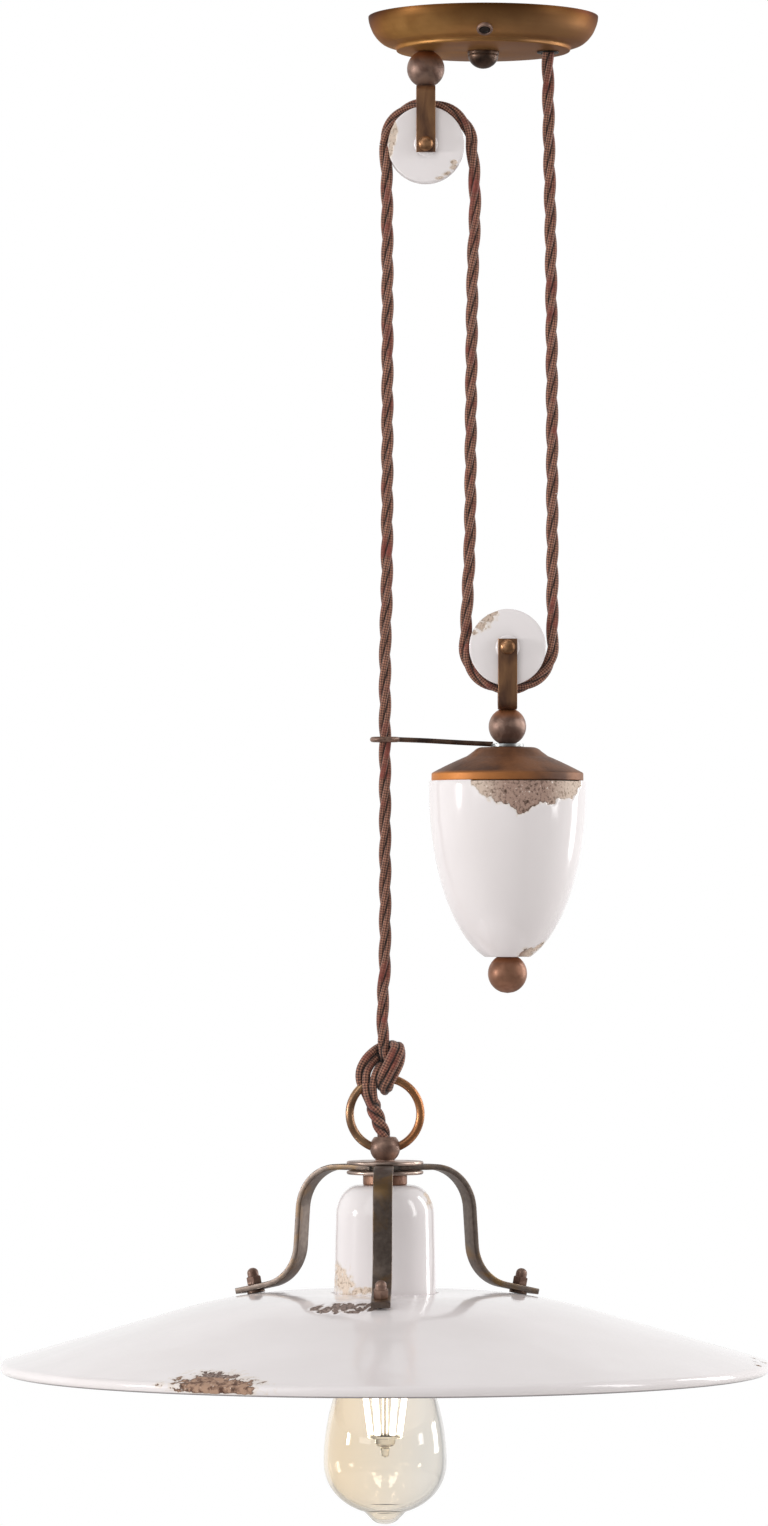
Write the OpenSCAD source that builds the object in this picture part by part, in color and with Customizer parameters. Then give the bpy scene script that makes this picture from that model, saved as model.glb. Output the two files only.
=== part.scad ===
// Rise and fall pendant. A wide ceramic lamp hangs on a twisted textile flex that runs up over a
// fixed pulley, down round the pulley of a counterweight, and up again to the ceiling rose. The lamp
// slides up as the counterweight sinks by half as much.
// Millimetres, +Z up, +X to the right and -Y to the front. The origin is the middle of the rose,
// where it meets the ceiling.

/* [Ceiling rose] */
// Diameter of the spun rose cover
rose_d = 120; // [112:1:150]
// Height of the rose cover
rose_h = 18; // [17:0.5:26]
// Sheet thickness of the rose cover
rose_wall = 1.2; // [0.8:0.1:1.6]
// Radius of the cover's rounded shoulder
rose_shoulder_r = 15.4; // [13:0.2:16]
// Diameter of the flat bottom of the cover
rose_flat_d = 91; // [88:1:100]
// Diameter of the steel plate in the rose that carries the pulley
carrier_d = 82; // [80:1:86]
// Thickness of that plate
carrier_t = 2.5; // [2:0.1:3]
// Width of the bracket that is screwed to the ceiling
bracket_w = 18; // [14:1:24]
// Thickness of the bracket
bracket_t = 2.5; // [2:0.1:3]
// Length of the bracket's bent ends
bracket_tab_l = 8; // [7:0.5:9]
// Distance between the two ceiling screws
ceiling_screw_spacing = 66; // [56:1:74]
// Width of the slots for the ceiling screws
ceiling_slot_w = 4.6; // [4:0.1:5.5]
// Length of the slots, end to end
ceiling_slot_l = 12; // [8:0.5:14]
// Diameter of the centre stud
stud_d = 8; // [6:0.5:10]
// Diameter of the dome nut under the rose
dome_nut_d = 16.4; // [15:0.2:20]
// Height of the dome nut
dome_nut_h = 9; // [8:0.5:12]
// Slope of the two side screws below the horizontal
side_screw_slope = 55; // [52:1:58]

/* [Flex] */
// Diameter of the three-strand twisted flex
cord_d = 6.5; // [5.5:0.1:7]
// Diameter of the flange of the bush where the flex enters the rose
bush_flange_d = 11.6; // [10.5:0.2:14]

/* [Pulleys] */
// Diameter of each ceramic sheave
sheave_d = 40; // [36:1:44]
// Width of each sheave over its rims
sheave_w = 12; // [10:0.5:14]
// Depth of the groove
groove_depth = 2.3; // [1.8:0.1:3]
// Diameter of the axles
axle_d = 5; // [4:0.5:6]
// Diameter of the domed axle heads
axle_head_d = 7.9; // [7:0.1:9.5]
// Width of the steel strip that the forks are bent from
strip_w = 10; // [9:0.5:12]
// Thickness of the strip
strip_t = 2; // [1.5:0.1:2.4]
// From the upper axle to the top of its fork
upper_fork_reach = 30.8; // [30.4:0.2:36]
// From the lower axle to the bottom of its fork
lower_fork_reach = 32.2; // [31:0.2:38]
// Diameter of the two joint balls
ball_d = 19.6; // [17:0.2:22]
// Height of the upper ball between its two flats
upper_ball_h = 18.2; // [15:0.2:18.6]
// Height of the lower ball between its two flats
lower_ball_h = 17.9; // [15:0.1:18.6]
// Diameter of the bolts through the balls
stem_d = 6; // [5:0.5:7]

/* [Counterweight] */
// Depth of the lower axle below the ceiling
weight_drop = 329.3; // [260:0.1:420]
// Diameter of the guide arm's clamping washer
washer_d = 17; // [15:0.5:20]
// Thickness of that washer
washer_t = 1.8; // [1.2:0.1:2.4]
// Diameter of the guide arm's wire
guide_wire_d = 2.6; // [2:0.1:3]
// Outer diameter of the guide arm's eye
guide_eye_d = 16; // [15:0.5:20]
// How far the cap's rim lies inside the weight's side
cap_inset = 1.3; // [0.4:0.1:3]
// Height of the cap
cap_h = 17.5; // [15:0.5:20]
// Sheet thickness of the cap
cap_wall = 1.4; // [1:0.1:2]
// Diameter of the ceramic weight
weight_d = 81.8; // [76:0.2:88]
// Height of the ceramic weight
weight_h = 91.7; // [80:0.1:110]
// Wall of the ceramic weight
weight_wall = 5; // [4:0.5:8]
// Diameter of the flat at the bottom of the weight
weight_foot_d = 24; // [20:1:30]
// Diameter of the ball under the weight
finial_d = 20.4; // [18:0.2:24]

/* [Lamp carrier] */
// Depth of the carry ring's middle below the ceiling
lamp_drop = 572; // [500:1:760]
// Diameter of the carry ring at the middle of its wire
ring_d = 36.8; // [34:0.2:40]
// Diameter of the ring's wire
ring_wire_d = 4.4; // [3.6:0.1:4.8]
// Diameter of the ball that hangs on the ring
gland_d = 15.8; // [15.4:0.1:18]
// Diameter of the two clamping plates
plate_d = 40; // [36:1:46]
// Thickness of each clamping plate
plate_t = 2; // [1.5:0.1:3]
// Diameter of the collar below the plates
collar_d = 23; // [20:1:27]
// Height of the collar
collar_h = 5.5; // [4:0.5:8]
// Diameter of the hollow threaded tube that holds the stack together
nipple_d = 8; // [7:0.5:8]
// Width of the three arms
arm_w = 10; // [8:0.5:11]
// Thickness of the arms
arm_t = 3; // [2:0.1:3.4]
// Radius of the arms' upper bend at mid thickness
arm_top_bend_r = 23.5; // [20:0.5:26]
// Radius of the arms' lower bend at mid thickness
arm_foot_bend_r = 23; // [18:0.5:25]
// Lean of the arms away from upright, in degrees
arm_lean = 4; // [0:0.5:8]
// Slope of the arms' feet, in degrees
foot_slope = 12; // [9:0.5:15]
// Distance of the shade's bolts from the lamp's axis
shade_bolt_r = 80; // [76:0.5:84]
// Diameter of those bolts
shade_bolt_d = 4; // [3:0.5:5]
// Width of the acorn nuts across their flats
acorn_flats = 7.3; // [6.5:0.1:8.5]
// Height of the acorn nuts
acorn_h = 9; // [8:0.2:11]

/* [Lampholder] */
// Diameter of the ceramic cup over the lampholder
cup_d = 53; // [48:1:56]
// Height of the cup
cup_h = 57; // [54:0.5:58]
// Wall of the cup
cup_wall = 4; // [3:0.5:5]
// Diameter of the lampholder
holder_d = 37; // [34:1:39]

/* [Shade] */
// Diameter of the shade
shade_d = 400; // [340:5:460]
// Depth of the shade's flat top below the top of the cup
shade_drop = 56; // [50:0.5:58]
// Wall of the shade
shade_wall = 5; // [4:0.5:6]
// Radius where the flat top ends
shade_flat_r = 45; // [40:1:55]
// Radius where the curve ends and the straight slope begins
shade_slope_r = 106; // [95:1:120]
// Slope of the shade, in degrees
shade_slope = 16.2; // [12:0.2:20]
// Thickness of the rounded lip
shade_lip_t = 6; // [5:0.2:8]

/* [Bulb] */
// Diameter of the bulb
bulb_d = 64; // [56:1:70]
// Height of the bulb's glass
bulb_glass_h = 115; // [100:1:130]
// Height of the widest place above the lowest point of the glass
bulb_belly_h = 33; // [28:1:40]
// Thickness of the glass
bulb_wall = 0.8; // [0.6:0.1:1.2]
// Number of light filaments
filament_count = 6; // [4:1:8]

/* [Hidden] */
$fn = 48;

// Clearances
fit_gap = 0.05;
seat_gap = 0.3;
past = 1;

// The flex runs straight down from the sheaves, so their pitch radius spaces the whole layout
pitch_r = sheave_d/2 - groove_depth + seat_gap + cord_d/2;
upper_x = -30;
weight_x = upper_x + 2*pitch_r;
bush_x = upper_x + 3*pitch_r;
lamp_x = upper_x - pitch_r;

// Rose
rose_r = rose_d/2;
rose_step_z = rose_shoulder_r;
rose_floor_z = -rose_h;
carrier_top_z = rose_floor_z + rose_wall + carrier_t;
side_screw_d = 5.2;
side_collar_d = 8.5;
side_collar_w = 1.4;
// The bracket's ends bend down and in, to face the side screws squarely. Distances of their faces
// and the screws are counted from the middle of the rose's round shoulder, at shoulder_y.
shoulder_y = rose_r - rose_shoulder_r;
tab_face_r = rose_shoulder_r - rose_wall - 2.7;
tab_bend_r = 1.6;
tab_slope_r = 2;
tab_top_y = shoulder_y + (tab_face_r - bracket_t/2)*cos(side_screw_slope)
    + bracket_tab_l/2*sin(side_screw_slope) + tab_slope_r*(1 - cos(side_screw_slope));
tab_top_z = -(tab_face_r - bracket_t/2)*sin(side_screw_slope)
    + bracket_tab_l/2*cos(side_screw_slope) + tab_slope_r*sin(side_screw_slope);
side_screw_l = rose_shoulder_r + side_collar_w - tab_face_r - 1;
bush_body_d = cord_d + 2.6;
bush_flange_t = 1;
bush_top_z = carrier_top_z + 1.6;
grip_d = 16;
grip_h = 7;
grip_bore_d = cord_d + 2*fit_gap;
block_size = [24, 13, 9];
block_at = [19, 22];
nut_h = 5;
nut_flats = 10;

// Pulleys
upper_ball_top_z = rose_floor_z;
upper_fork_z = upper_ball_top_z - upper_ball_h;
upper_axle_z = upper_fork_z - upper_fork_reach;
hub_w = sheave_w + 1.4;
fork_gap = hub_w + 2*seat_gap;
fork_w = fork_gap + 2*strip_t;
fork_end = 4.4;
bolt_head_d = 9.4;
bolt_head_h = 3;

// Counterweight, from its pulley down
lower_axle_z = -weight_drop;
lower_fork_z = lower_axle_z - lower_fork_reach;
washer_z = lower_fork_z - lower_ball_h;
cap_top_z = washer_z - washer_t;
cap_d = weight_d - 2*cap_inset;
cap_neck_r = 0.164*cap_d;
cap_bead_r = 6.2;
cap_bead_end = 40;
cap_slope_r = cap_neck_r + 5.6;
cap_slope_fall = 3.6;
cap_rim_h = 4;
weight_top_z = cap_top_z - cap_h;
weight_bottom_z = weight_top_z - weight_h;
finial_z = weight_bottom_z - sqrt(pow(finial_d/2, 2) - pow(5.4, 2));
guide_eye_z = washer_z + 2.2;

// Lamp carrier, from the ring down
ring_z = -lamp_drop;
pivot_z = ring_z - ring_d/2;
gland_z = pivot_z + 0.7;
gland_top_z = gland_z + 5.7;
gland_bottom_z = gland_z - 6.8;
gland_neck_d = 10.4;
ring_hole_d = ring_wire_d + 1.4;
ring_hole_drop = 0.4;
gland_socket_d = cord_d + 0.9;
gland_socket_h = 2.8;
nipple_top_z = gland_bottom_z + 2.5;
arm_z = gland_bottom_z - plate_t - arm_t/2;
collar_top_z = gland_bottom_z - 2*plate_t - arm_t;
cup_top_z = collar_top_z - collar_h;
rivet_d = 3;
rivet_r = 14;
arm_start_r = 6.6;

// Lampholder, from the cup's roof down
cup_flat_r = 14;
// The cup narrows towards its shoulder, and stands in the shade's hole with a little play
cup_taper = 0.9;
shade_hole_d = cup_d + 2;
cup_shoulder_h = 16;
cup_roof_z = cup_top_z - cup_wall;
nipple_nut_h = 4;
nipple_nut_flats = 13;
holder_top_z = cup_roof_z - nipple_nut_h;
nipple_end_z = holder_top_z - 5;
holder_h = 50;
holder_bottom_z = holder_top_z - holder_h;
socket_depth = 24;
socket_shell_h = 20;
// The screw cap's size is the E27 standard's
bulb_cap_d = 26;
socket_d = bulb_cap_d + 2.6;
socket_roof_z = holder_bottom_z + socket_depth;
contact_t = 0.8;
shell_t = 0.8;

// Shade: a flat middle, a curve, a straight slope and a rounded lip
shade_top_z = cup_top_z - shade_drop;
shade_curve_r = (shade_slope_r - shade_flat_r)/sin(shade_slope);
shade_lip_r = shade_lip_t/2;
shade_lip_at = shade_d/2 - shade_lip_r;
function shade_fall(r) = r < shade_flat_r ? 0
    : r < shade_slope_r ? shade_curve_r - sqrt(pow(shade_curve_r, 2) - pow(r - shade_flat_r, 2))
    : shade_curve_r*(1 - cos(shade_slope)) + (r - shade_slope_r)*tan(shade_slope);
function shade_tilt(r) = r < shade_flat_r ? 0
    : r < shade_slope_r ? asin((r - shade_flat_r)/shade_curve_r)
    : shade_slope;

// Arms: their drop brings the foot onto its washer on the shade
foot_washer_t = 1.4;
bolt_tilt = foot_slope;
foot_z = shade_top_z - shade_fall(shade_bolt_r) + (seat_gap + foot_washer_t + arm_t/2)/cos(bolt_tilt);
arm_turn = 90 - arm_lean;
foot_turn = arm_turn - foot_slope;
arm_reach_r = 27;
arm_run = arm_reach_r - arm_start_r;
foot_past_bolt = 9.5;
bend_1_r = arm_reach_r + arm_top_bend_r*sin(arm_turn);
bend_1_z = arm_z - arm_top_bend_r*(1 - cos(arm_turn));
bend_2_r = arm_foot_bend_r*(cos(foot_slope + 90) - cos(arm_turn + 90));
bend_2_z = -arm_foot_bend_r*(cos(foot_slope) - cos(arm_turn));
arm_foot_at = bend_1_r + bend_2_r;
foot_rise = (shade_bolt_r - arm_foot_at)*tan(foot_slope);
arm_leg = (bend_1_z + bend_2_z - foot_rise - foot_z)/(sin(arm_turn) - cos(arm_turn)*tan(foot_slope));
foot_l = (shade_bolt_r - arm_foot_at - arm_leg*cos(arm_turn))/cos(foot_slope)
    + foot_past_bolt;
arm_angles = [-91.5, 148.5, 28.5];
// From the middle of a foot down its bolt: foot, washer, shade, washer, head
bolt_slack = 0.5;
bolt_washer_t = 1.2;
bolt_washer_d = 11;
foot_washer_d = 9.4;
shade_bolt_head_h = 2.6;
acorn_hex_h = 4.4;
acorn_dome_h = 2.6;
acorn_dome_d = acorn_flats - 1.4;
acorn_thread_h = 6.4;
under_foot = arm_t/2;
under_shade = under_foot + foot_washer_t + 2*seat_gap + bolt_slack
    + shade_wall/cos(foot_slope - shade_tilt(shade_bolt_r));

// Bulb, from its cap down
bulb_contact_z = socket_roof_z - contact_t - seat_gap;
bulb_cap_h = 26;
bulb_cap_z = bulb_contact_z - bulb_cap_h;
bulb_neck_r = bulb_cap_d/2 + 0.6;
bulb_tip_h = 5;
bulb_tip_r = 7.9;
bulb_bottom_z = bulb_cap_z - bulb_glass_h;
belly_z = bulb_bottom_z + bulb_belly_h;
stem_over_belly = 12;
stem_bottom_z = belly_z + stem_over_belly;
stem_plate_t = 1.2;
stem_rod_d = 3.2;
stem_flare_d = 11;
stem_flare_h = 18;
filament_h = 38;
filament_d = 2;
filament_foot_r = 5.8;
filament_head_r = 10.8;

// Routes of the flex in the XZ plane. The strands go down through places [x, z]: the stiff flex leaves
// a sheave a little wide of it and swings back. The half turns have a middle and the radii at their
// right end, bottom or top, and left end. The tail's places have a heading in degrees as well.
down = -90;
flex_sides = 8;
right_places = [[33.75, -8], [33.75, -25], [34.2, -60], [35.2, -120], [35.8, -200], [36, -329.3]];
lower_centre = [12.5, -329.3];
lower_turn_r = [23.5, 21.25, 22.1];
middle_places = [[-6, -67], [-4.7, -82], [-4.4, -105], [-5.6, -135], [-6.4, -200], [-7, -270],
    [-8.4, -305], [-9.6, -329.3]];
upper_centre = [-30, -67];
upper_turn_r = [24, 21.25, 21.25];
left_places = [[-51.25, -67], [-50.3, -90], [-50, -160], [-50.3, -290], [-51.25, -340],
    [-51.25, -480], [-52.4, -512], [-52.4, -534]];
knot_at = [-53.5, -547];
knot_d = 25;
knot_h = 26;
tail_route = [[-58.6, -560, down + 19], [-55.0, -570.5, down + 18], [-51.9, -581, down + 8],
    [-51.25, -586.4, down]];

// Where a strand through places is at height z
function strand_x(places, z, i = 1) = i == len(places) - 1 || z >= places[i][1]
    ? let (a = places[i - 1], b = places[i]) a[0] + (b[0] - a[0])*(a[1] - z)/(a[1] - b[1])
    : strand_x(places, z, i + 1);
function strand(places, steps) = let (top = places[0][1], drop = places[len(places) - 1][1] - top)
    [for (i = [0:steps]) let (z = top + drop*i/steps) [strand_x(places, z), z, down]];
// Half a turn round a centre, from right to left; way is 1 over the top and -1 under the bottom
function half_turn(centre, radii, way, steps) = [
    for (i = [0:steps]) let (
            a = way*180*i/steps,
            r = radii[1] + (radii[2*i < steps ? 0 : 2] - radii[1])*pow(cos(a), 2))
        [centre[0] + r*cos(a), centre[1] + r*sin(a), a + way*90]];
function arc(x, y, r, from, to, steps) = [
    for (i = [0:steps]) let (a = from + (to - from)*i/steps) [x + r*cos(a), y + r*sin(a)]];

// A closed tube through the places of a route
module tube(route) {
    r = cord_d/2;
    last = len(route) - 1;
    points = [for (p = route) for (k = [0:flex_sides - 1])
        let (a = 360*(k + 0.5)/flex_sides)
        [p[0] - r*cos(a)*sin(p[2]), r*sin(a), p[1] + r*cos(a)*cos(p[2])]];
    sides = [for (i = [0:last - 1]) for (k = [0:flex_sides - 1])
        let (n = (k + 1) % flex_sides, a = i*flex_sides, b = a + flex_sides)
        [a + k, b + k, b + n, a + n]];
    start = [for (k = [0:flex_sides - 1]) k];
    end = [for (k = [0:flex_sides - 1]) last*flex_sides + flex_sides - 1 - k];
    polyhedron(points, concat(sides, [start, end]), convexity = 4);
}

// A straight round bar between two points
module bar(from, to, d) {
    v = to - from;
    l = norm(v);
    translate(from)
        rotate([0, acos(v[2]/l), atan2(v[1], v[0])])
            cylinder(d = d, h = l);
}

module hex_prism(flats, h) {
    cylinder(d = flats/cos(30), h = h, $fn = 6);
}

module rounded_square(w, h, r) {
    translate([r - w/2, 0]) square([w - 2*r, h]);
    translate([-w/2, r]) square([w, h - 2*r]);
    for (x = [r - w/2, w/2 - r])
        for (y = [r, h - r])
            translate([x, y]) circle(r);
}

// ---- Ceiling rose ----

// Half section of the rose as a filled shape, drawn in by inset on its outer side
module rose_section(inset) {
    shoulder_at = rose_r - rose_shoulder_r;
    intersection() {
        translate([0, -rose_h]) square([rose_r, rose_h]);
        union() {
            translate([0, inset - rose_step_z]) square([shoulder_at, rose_step_z - inset]);
            translate([shoulder_at, 0]) circle(rose_shoulder_r - inset);
            translate([0, inset - rose_h]) square([rose_flat_d/2 - inset, rose_h - inset]);
        }
    }
}

module rose_cover() {
    color("saddlebrown")
    difference() {
        union() {
            rotate_extrude() rose_section(0);
            at_side_screws(rose_shoulder_r - 2) cylinder(d = side_collar_d, h = 2 + side_collar_w);
        }
        rotate_extrude() rose_hollow();
        at_side_screws(rose_shoulder_r/2) cylinder(d = side_screw_d + 2*fit_gap, h = rose_shoulder_r);
        translate([0, 0, rose_floor_z - past])
            cylinder(d = stud_d + 2*fit_gap, h = rose_wall + 2*past);
        translate([upper_x, 0, rose_floor_z - past])
            cylinder(d = stem_d + 2*fit_gap, h = rose_wall + 2*past);
        translate([bush_x, 0, rose_floor_z - past])
            cylinder(d = bush_body_d + 2*fit_gap, h = rose_wall + 2*past);
    }
}

// The axes of the side screws, at a distance from the middle of the round shoulder
module at_side_screws(distance) {
    for (side = [0, 180])
        rotate([0, 0, side])
            translate([0, shoulder_y, 0])
                rotate([-90 - side_screw_slope, 0, 0]) translate([0, 0, distance]) children();
}

// The rose's inside, open to the ceiling
module rose_hollow() {
    rose_section(rose_wall);
    translate([0, -rose_wall]) square([rose_r - rose_wall, rose_wall + past]);
}

module ceiling_bracket() {
    color("silver")
    difference() {
        union() {
            for (side = [90, -90])
                rotate([0, 0, side]) translate([-1, 0, -bracket_t/2])
                    rotate([90, 0, 0]) linear_extrude(bracket_w, center = true)
                        bent_bar([[tab_top_y - tab_bend_r + 1], [tab_bend_r, -90],
                            [-tab_top_z - bracket_t/2 - tab_bend_r],
                            [tab_slope_r, -side_screw_slope], [bracket_tab_l]], bracket_t);
        }
        translate([0, 0, -bracket_t - past])
            cylinder(d = stud_d + 2*fit_gap, h = bracket_t + 2*past);
        for (side = [-1, 1])
            translate([0, side*ceiling_screw_spacing/2, -bracket_t - past])
                linear_extrude(bracket_t + 2*past) slot(ceiling_slot_l, ceiling_slot_w);
    }
}

// A slot along Y with round ends
module slot(l, w) {
    translate([-w/2, (w - l)/2]) square([w, l - w]);
    for (y = [(w - l)/2, (l - w)/2])
        translate([0, y]) circle(d = w);
}

module carrier_plate() {
    color("silver")
    difference() {
        translate([0, 0, carrier_top_z - carrier_t]) cylinder(d = carrier_d, h = carrier_t);
        for (hole = [[0, stud_d], [upper_x, stem_d], [bush_x, bush_body_d]])
            translate([hole[0], 0, carrier_top_z - carrier_t - past])
                cylinder(d = hole[1] + 2*fit_gap, h = carrier_t + 2*past);
    }
}

module rose_stud() {
    color("silver")
    translate([0, 0, rose_floor_z - dome_nut_h + 3])
        cylinder(d = stud_d, h = rose_h + dome_nut_h - 3);
}

module rose_dome_nut() {
    color("saddlebrown")
    difference() {
        intersection() {
            translate([0, 0, rose_floor_z - dome_nut_h])
                cylinder(d = dome_nut_d, h = dome_nut_h);
            translate([0, 0, rose_floor_z - dome_nut_h + dome_nut_d/2 + 0.6])
                sphere(d = dome_nut_d + 1.2);
        }
        translate([0, 0, rose_floor_z - dome_nut_h + 2.7])
            cylinder(d = stud_d + 2*fit_gap, h = dome_nut_h);
    }
}

// Grub screws that pass the rose's side collars and press on the bracket's ends
module rose_side_screws() {
    color("dimgray")
    at_side_screws(tab_face_r + seat_gap)
        difference() {
            cylinder(d = side_screw_d, h = side_screw_l - seat_gap);
            translate([0, 0, side_screw_l - 1]) linear_extrude(2) square([5.4, 0.9], center = true);
        }
}

module flex_bush() {
    color("peru")
    difference() {
        union() {
            translate([bush_x, 0, rose_floor_z - bush_flange_t])
                cylinder(d = bush_flange_d, h = bush_flange_t);
            translate([bush_x, 0, rose_floor_z]) cylinder(d = bush_body_d, h = bush_top_z - rose_floor_z);
        }
        translate([bush_x, 0, rose_floor_z - bush_flange_t - past])
            cylinder(d = cord_d + 0.4, h = rose_h);
    }
}

// Ring that keeps the end of the flex in the rose
module flex_grip() {
    color("dimgray")
    difference() {
        translate([bush_x, 0, bush_top_z]) cylinder(d = grip_d, h = grip_h);
        translate([bush_x, 0, bush_top_z - past]) cylinder(d = grip_bore_d, h = grip_h + 2*past);
        translate([bush_x, 0, bush_top_z + grip_h/2])
            rotate([0, -90, 0]) cylinder(d = 3 + 2*fit_gap, h = grip_d);
    }
}

module grip_screw() {
    color("silver")
    translate([bush_x - cord_d/2 - fit_gap, 0, bush_top_z + grip_h/2])
        rotate([0, -90, 0]) cylinder(d = 3, h = grip_d/2 - cord_d/2 + 0.6);
}

module terminal_block() {
    color("ivory")
    translate([block_at[0], block_at[1], carrier_top_z])
        difference() {
            translate([-block_size[0]/2, -block_size[1]/2, 0]) cube(block_size);
            for (i = [-1:1]) {
                translate([8*i, 0, 4]) rotate([90, 0, 0])
                    cylinder(d = 3.2, h = block_size[1] + 2*past, center = true);
                translate([8*i, 3, 4]) cylinder(d = 3, h = block_size[2]);
            }
        }
}

// ---- Pulleys ----

// A ball with two flats and a hole through it, from its lower flat up
module joint_ball(h) {
    difference() {
        intersection() {
            translate([0, 0, h/2]) sphere(d = ball_d);
            translate([0, 0, h/2]) cube([ball_d + past, ball_d + past, h], center = true);
        }
        translate([0, 0, -past]) cylinder(d = stem_d + 2*fit_gap, h = h + 2*past);
    }
}

// A strip bent into a U round a sheave, with its axle at the origin and its web below
module fork(reach) {
    difference() {
        intersection() {
            rotate([90, 0, 90]) linear_extrude(strip_w, center = true) fork_side(reach);
            rotate([90, 0, 0]) linear_extrude(2*fork_w, center = true)
                translate([0, -reach - past])
                    rounded_square(strip_w, reach + past + fork_end, 3);
        }
        rotate([90, 0, 0]) cylinder(d = axle_d + 2*fit_gap, h = 2*fork_w, center = true);
        translate([0, 0, -reach - past]) cylinder(d = stem_d + 2*fit_gap, h = strip_t + 2*past);
    }
}

module fork_side(reach) {
    bend_r = 4;
    difference() {
        translate([0, -reach]) rounded_square(fork_w, 2*reach, bend_r);
        translate([0, strip_t - reach])
            rounded_square(fork_gap, 2*reach + 2*bend_r, bend_r - strip_t + 0.4);
    }
}

// A pin with a domed head outside each leg of the fork
module axle() {
    rotate([90, 0, 0]) cylinder(d = axle_d, h = fork_w, center = true);
    for (side = [-1, 1])
        rotate([-90*side, 0, 0]) translate([0, 0, fork_w/2]) dome(axle_head_d, 2.3);
}

// A cap of a sphere, standing on a circle of that diameter
module dome(d, h) {
    r = (d*d/4 + h*h)/(2*h);
    intersection() {
        translate([0, 0, h - r]) sphere(r);
        cylinder(d = d + past, h = h);
    }
}

// A grooved ceramic sheave with a boss round its bore
module sheave() {
    rotate([90, 0, 0])
        rotate_extrude()
            difference() {
                union() {
                    translate([0, -sheave_w/2]) square([sheave_d/2 - 1, sheave_w]);
                    translate([0, 1 - sheave_w/2]) square([sheave_d/2, sheave_w - 2]);
                    translate([0, -hub_w/2]) square([axle_d/2 + 3.4, hub_w]);
                }
                translate([-past, -sheave_w]) square([axle_d/2 + fit_gap + past, 2*sheave_w]);
                translate([pitch_r, 0]) circle(cord_d/2 + seat_gap);
            }
}

// Section of the shallow ring-shaped dish in a sheave's side
module upper_ball() {
    color("sienna") translate([upper_x, 0, upper_fork_z]) joint_ball(upper_ball_h);
}

module upper_bolt() {
    color("dimgray") {
        translate([upper_x, 0, upper_fork_z - strip_t - bolt_head_h])
            cylinder(d = bolt_head_d, h = bolt_head_h);
        translate([upper_x, 0, upper_fork_z - strip_t - past])
            cylinder(d = stem_d, h = carrier_top_z + nut_h + 1 - upper_fork_z + strip_t + past);
    }
}

module upper_bolt_nut() {
    color("silver")
    translate([upper_x, 0, carrier_top_z])
        difference() {
            hex_prism(nut_flats, nut_h);
            translate([0, 0, -past]) cylinder(d = stem_d + 2*fit_gap, h = nut_h + 2*past);
        }
}

module upper_fork() {
    color("sienna") translate([upper_x, 0, upper_axle_z]) rotate([0, 180, 0]) fork(upper_fork_reach);
}

module upper_axle() {
    color("sienna") translate([upper_x, 0, upper_axle_z]) axle();
}

module upper_sheave() {
    color("white") translate([upper_x, 0, upper_axle_z]) sheave();
}

module lower_fork() {
    color("sienna") translate([weight_x, 0, lower_axle_z]) fork(lower_fork_reach);
}

module lower_axle() {
    color("sienna") translate([weight_x, 0, lower_axle_z]) axle();
}

module lower_sheave() {
    color("white") translate([weight_x, 0, lower_axle_z]) sheave();
}

// ---- Counterweight ----

module lower_ball() {
    color("sienna") translate([weight_x, 0, washer_z]) joint_ball(lower_ball_h);
}

// A clamped washer with a wire arm and an eye that keeps the lamp's flex beside the weight
module guide_arm() {
    eye_wire_d = guide_wire_d + 0.4;
    eye_r = (guide_eye_d - eye_wire_d)/2;
    color("tan")
    difference() {
        union() {
            translate([weight_x, 0, cap_top_z]) cylinder(d = washer_d, h = washer_t);
            bar([weight_x - washer_d/2 + 1, 0, cap_top_z + guide_wire_d/2 + 0.2],
                [lamp_x + eye_r, 0, guide_eye_z], guide_wire_d);
            translate([lamp_x, 0, guide_eye_z])
                rotate_extrude() translate([eye_r, 0]) circle(d = eye_wire_d);
        }
        translate([weight_x, 0, cap_top_z - past])
            cylinder(d = stem_d + 2*fit_gap, h = washer_t + 2*past);
    }
}

// The bolt that threads the fork, ball, washer, cap and weight onto the finial
module weight_bolt() {
    color("dimgray") {
        translate([weight_x, 0, lower_fork_z + strip_t]) cylinder(d = bolt_head_d, h = bolt_head_h);
        translate([weight_x, 0, finial_z])
            cylinder(d = stem_d, h = lower_fork_z + strip_t + past - finial_z);
    }
}

// Ogee of the cap from its middle to its rim, as [radius, depth]
function cap_curve(inset) = let (
        run = cap_d/2 - cap_slope_r, fall = cap_h - cap_rim_h - cap_slope_fall)
    concat(
        arc(cap_neck_r, -cap_bead_r, cap_bead_r - inset, 90, cap_bead_end, 5),
        [for (i = [1:6]) let (t = i/6)
            [cap_slope_r + run*t, -cap_slope_fall - inset - fall*(0.86*t + 0.14*t*t)]]);

module weight_cap() {
    r = cap_d/2;
    curve = cap_curve(0);
    under = cap_curve(cap_wall);
    color("chocolate")
    translate([weight_x, 0, cap_top_z])
        rotate_extrude()
            difference() {
                polygon(concat([[0, -cap_h], [0, 0]], curve, [[r, -cap_h]]));
                polygon(concat([[0, -cap_h - past], [0, -cap_wall]],
                    [for (p = under) if (p[0] < r - cap_wall) p],
                    [[r - cap_wall, -cap_h + cap_rim_h - 0.8], [r - cap_wall, -cap_h - past]]));
                translate([-past, -cap_h - past]) square([stem_d/2 + fit_gap + past, cap_h + 2*past]);
            }
}

// Side of the ceramic weight as [radius, height above its bottom], an upright band over a long curve
function weight_curve(inset, floor) = let (
        r = weight_d/2, band = 5, depth = weight_h - band,
        stretch = depth/sqrt(1 - pow(weight_foot_d/weight_d, 2)), steps = 14)
    [for (i = [0:steps]) let (a = i/steps*asin(depth/stretch))
        [max(r*cos(a) - inset, 0), max(depth - stretch*sin(a), floor)]];

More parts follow.
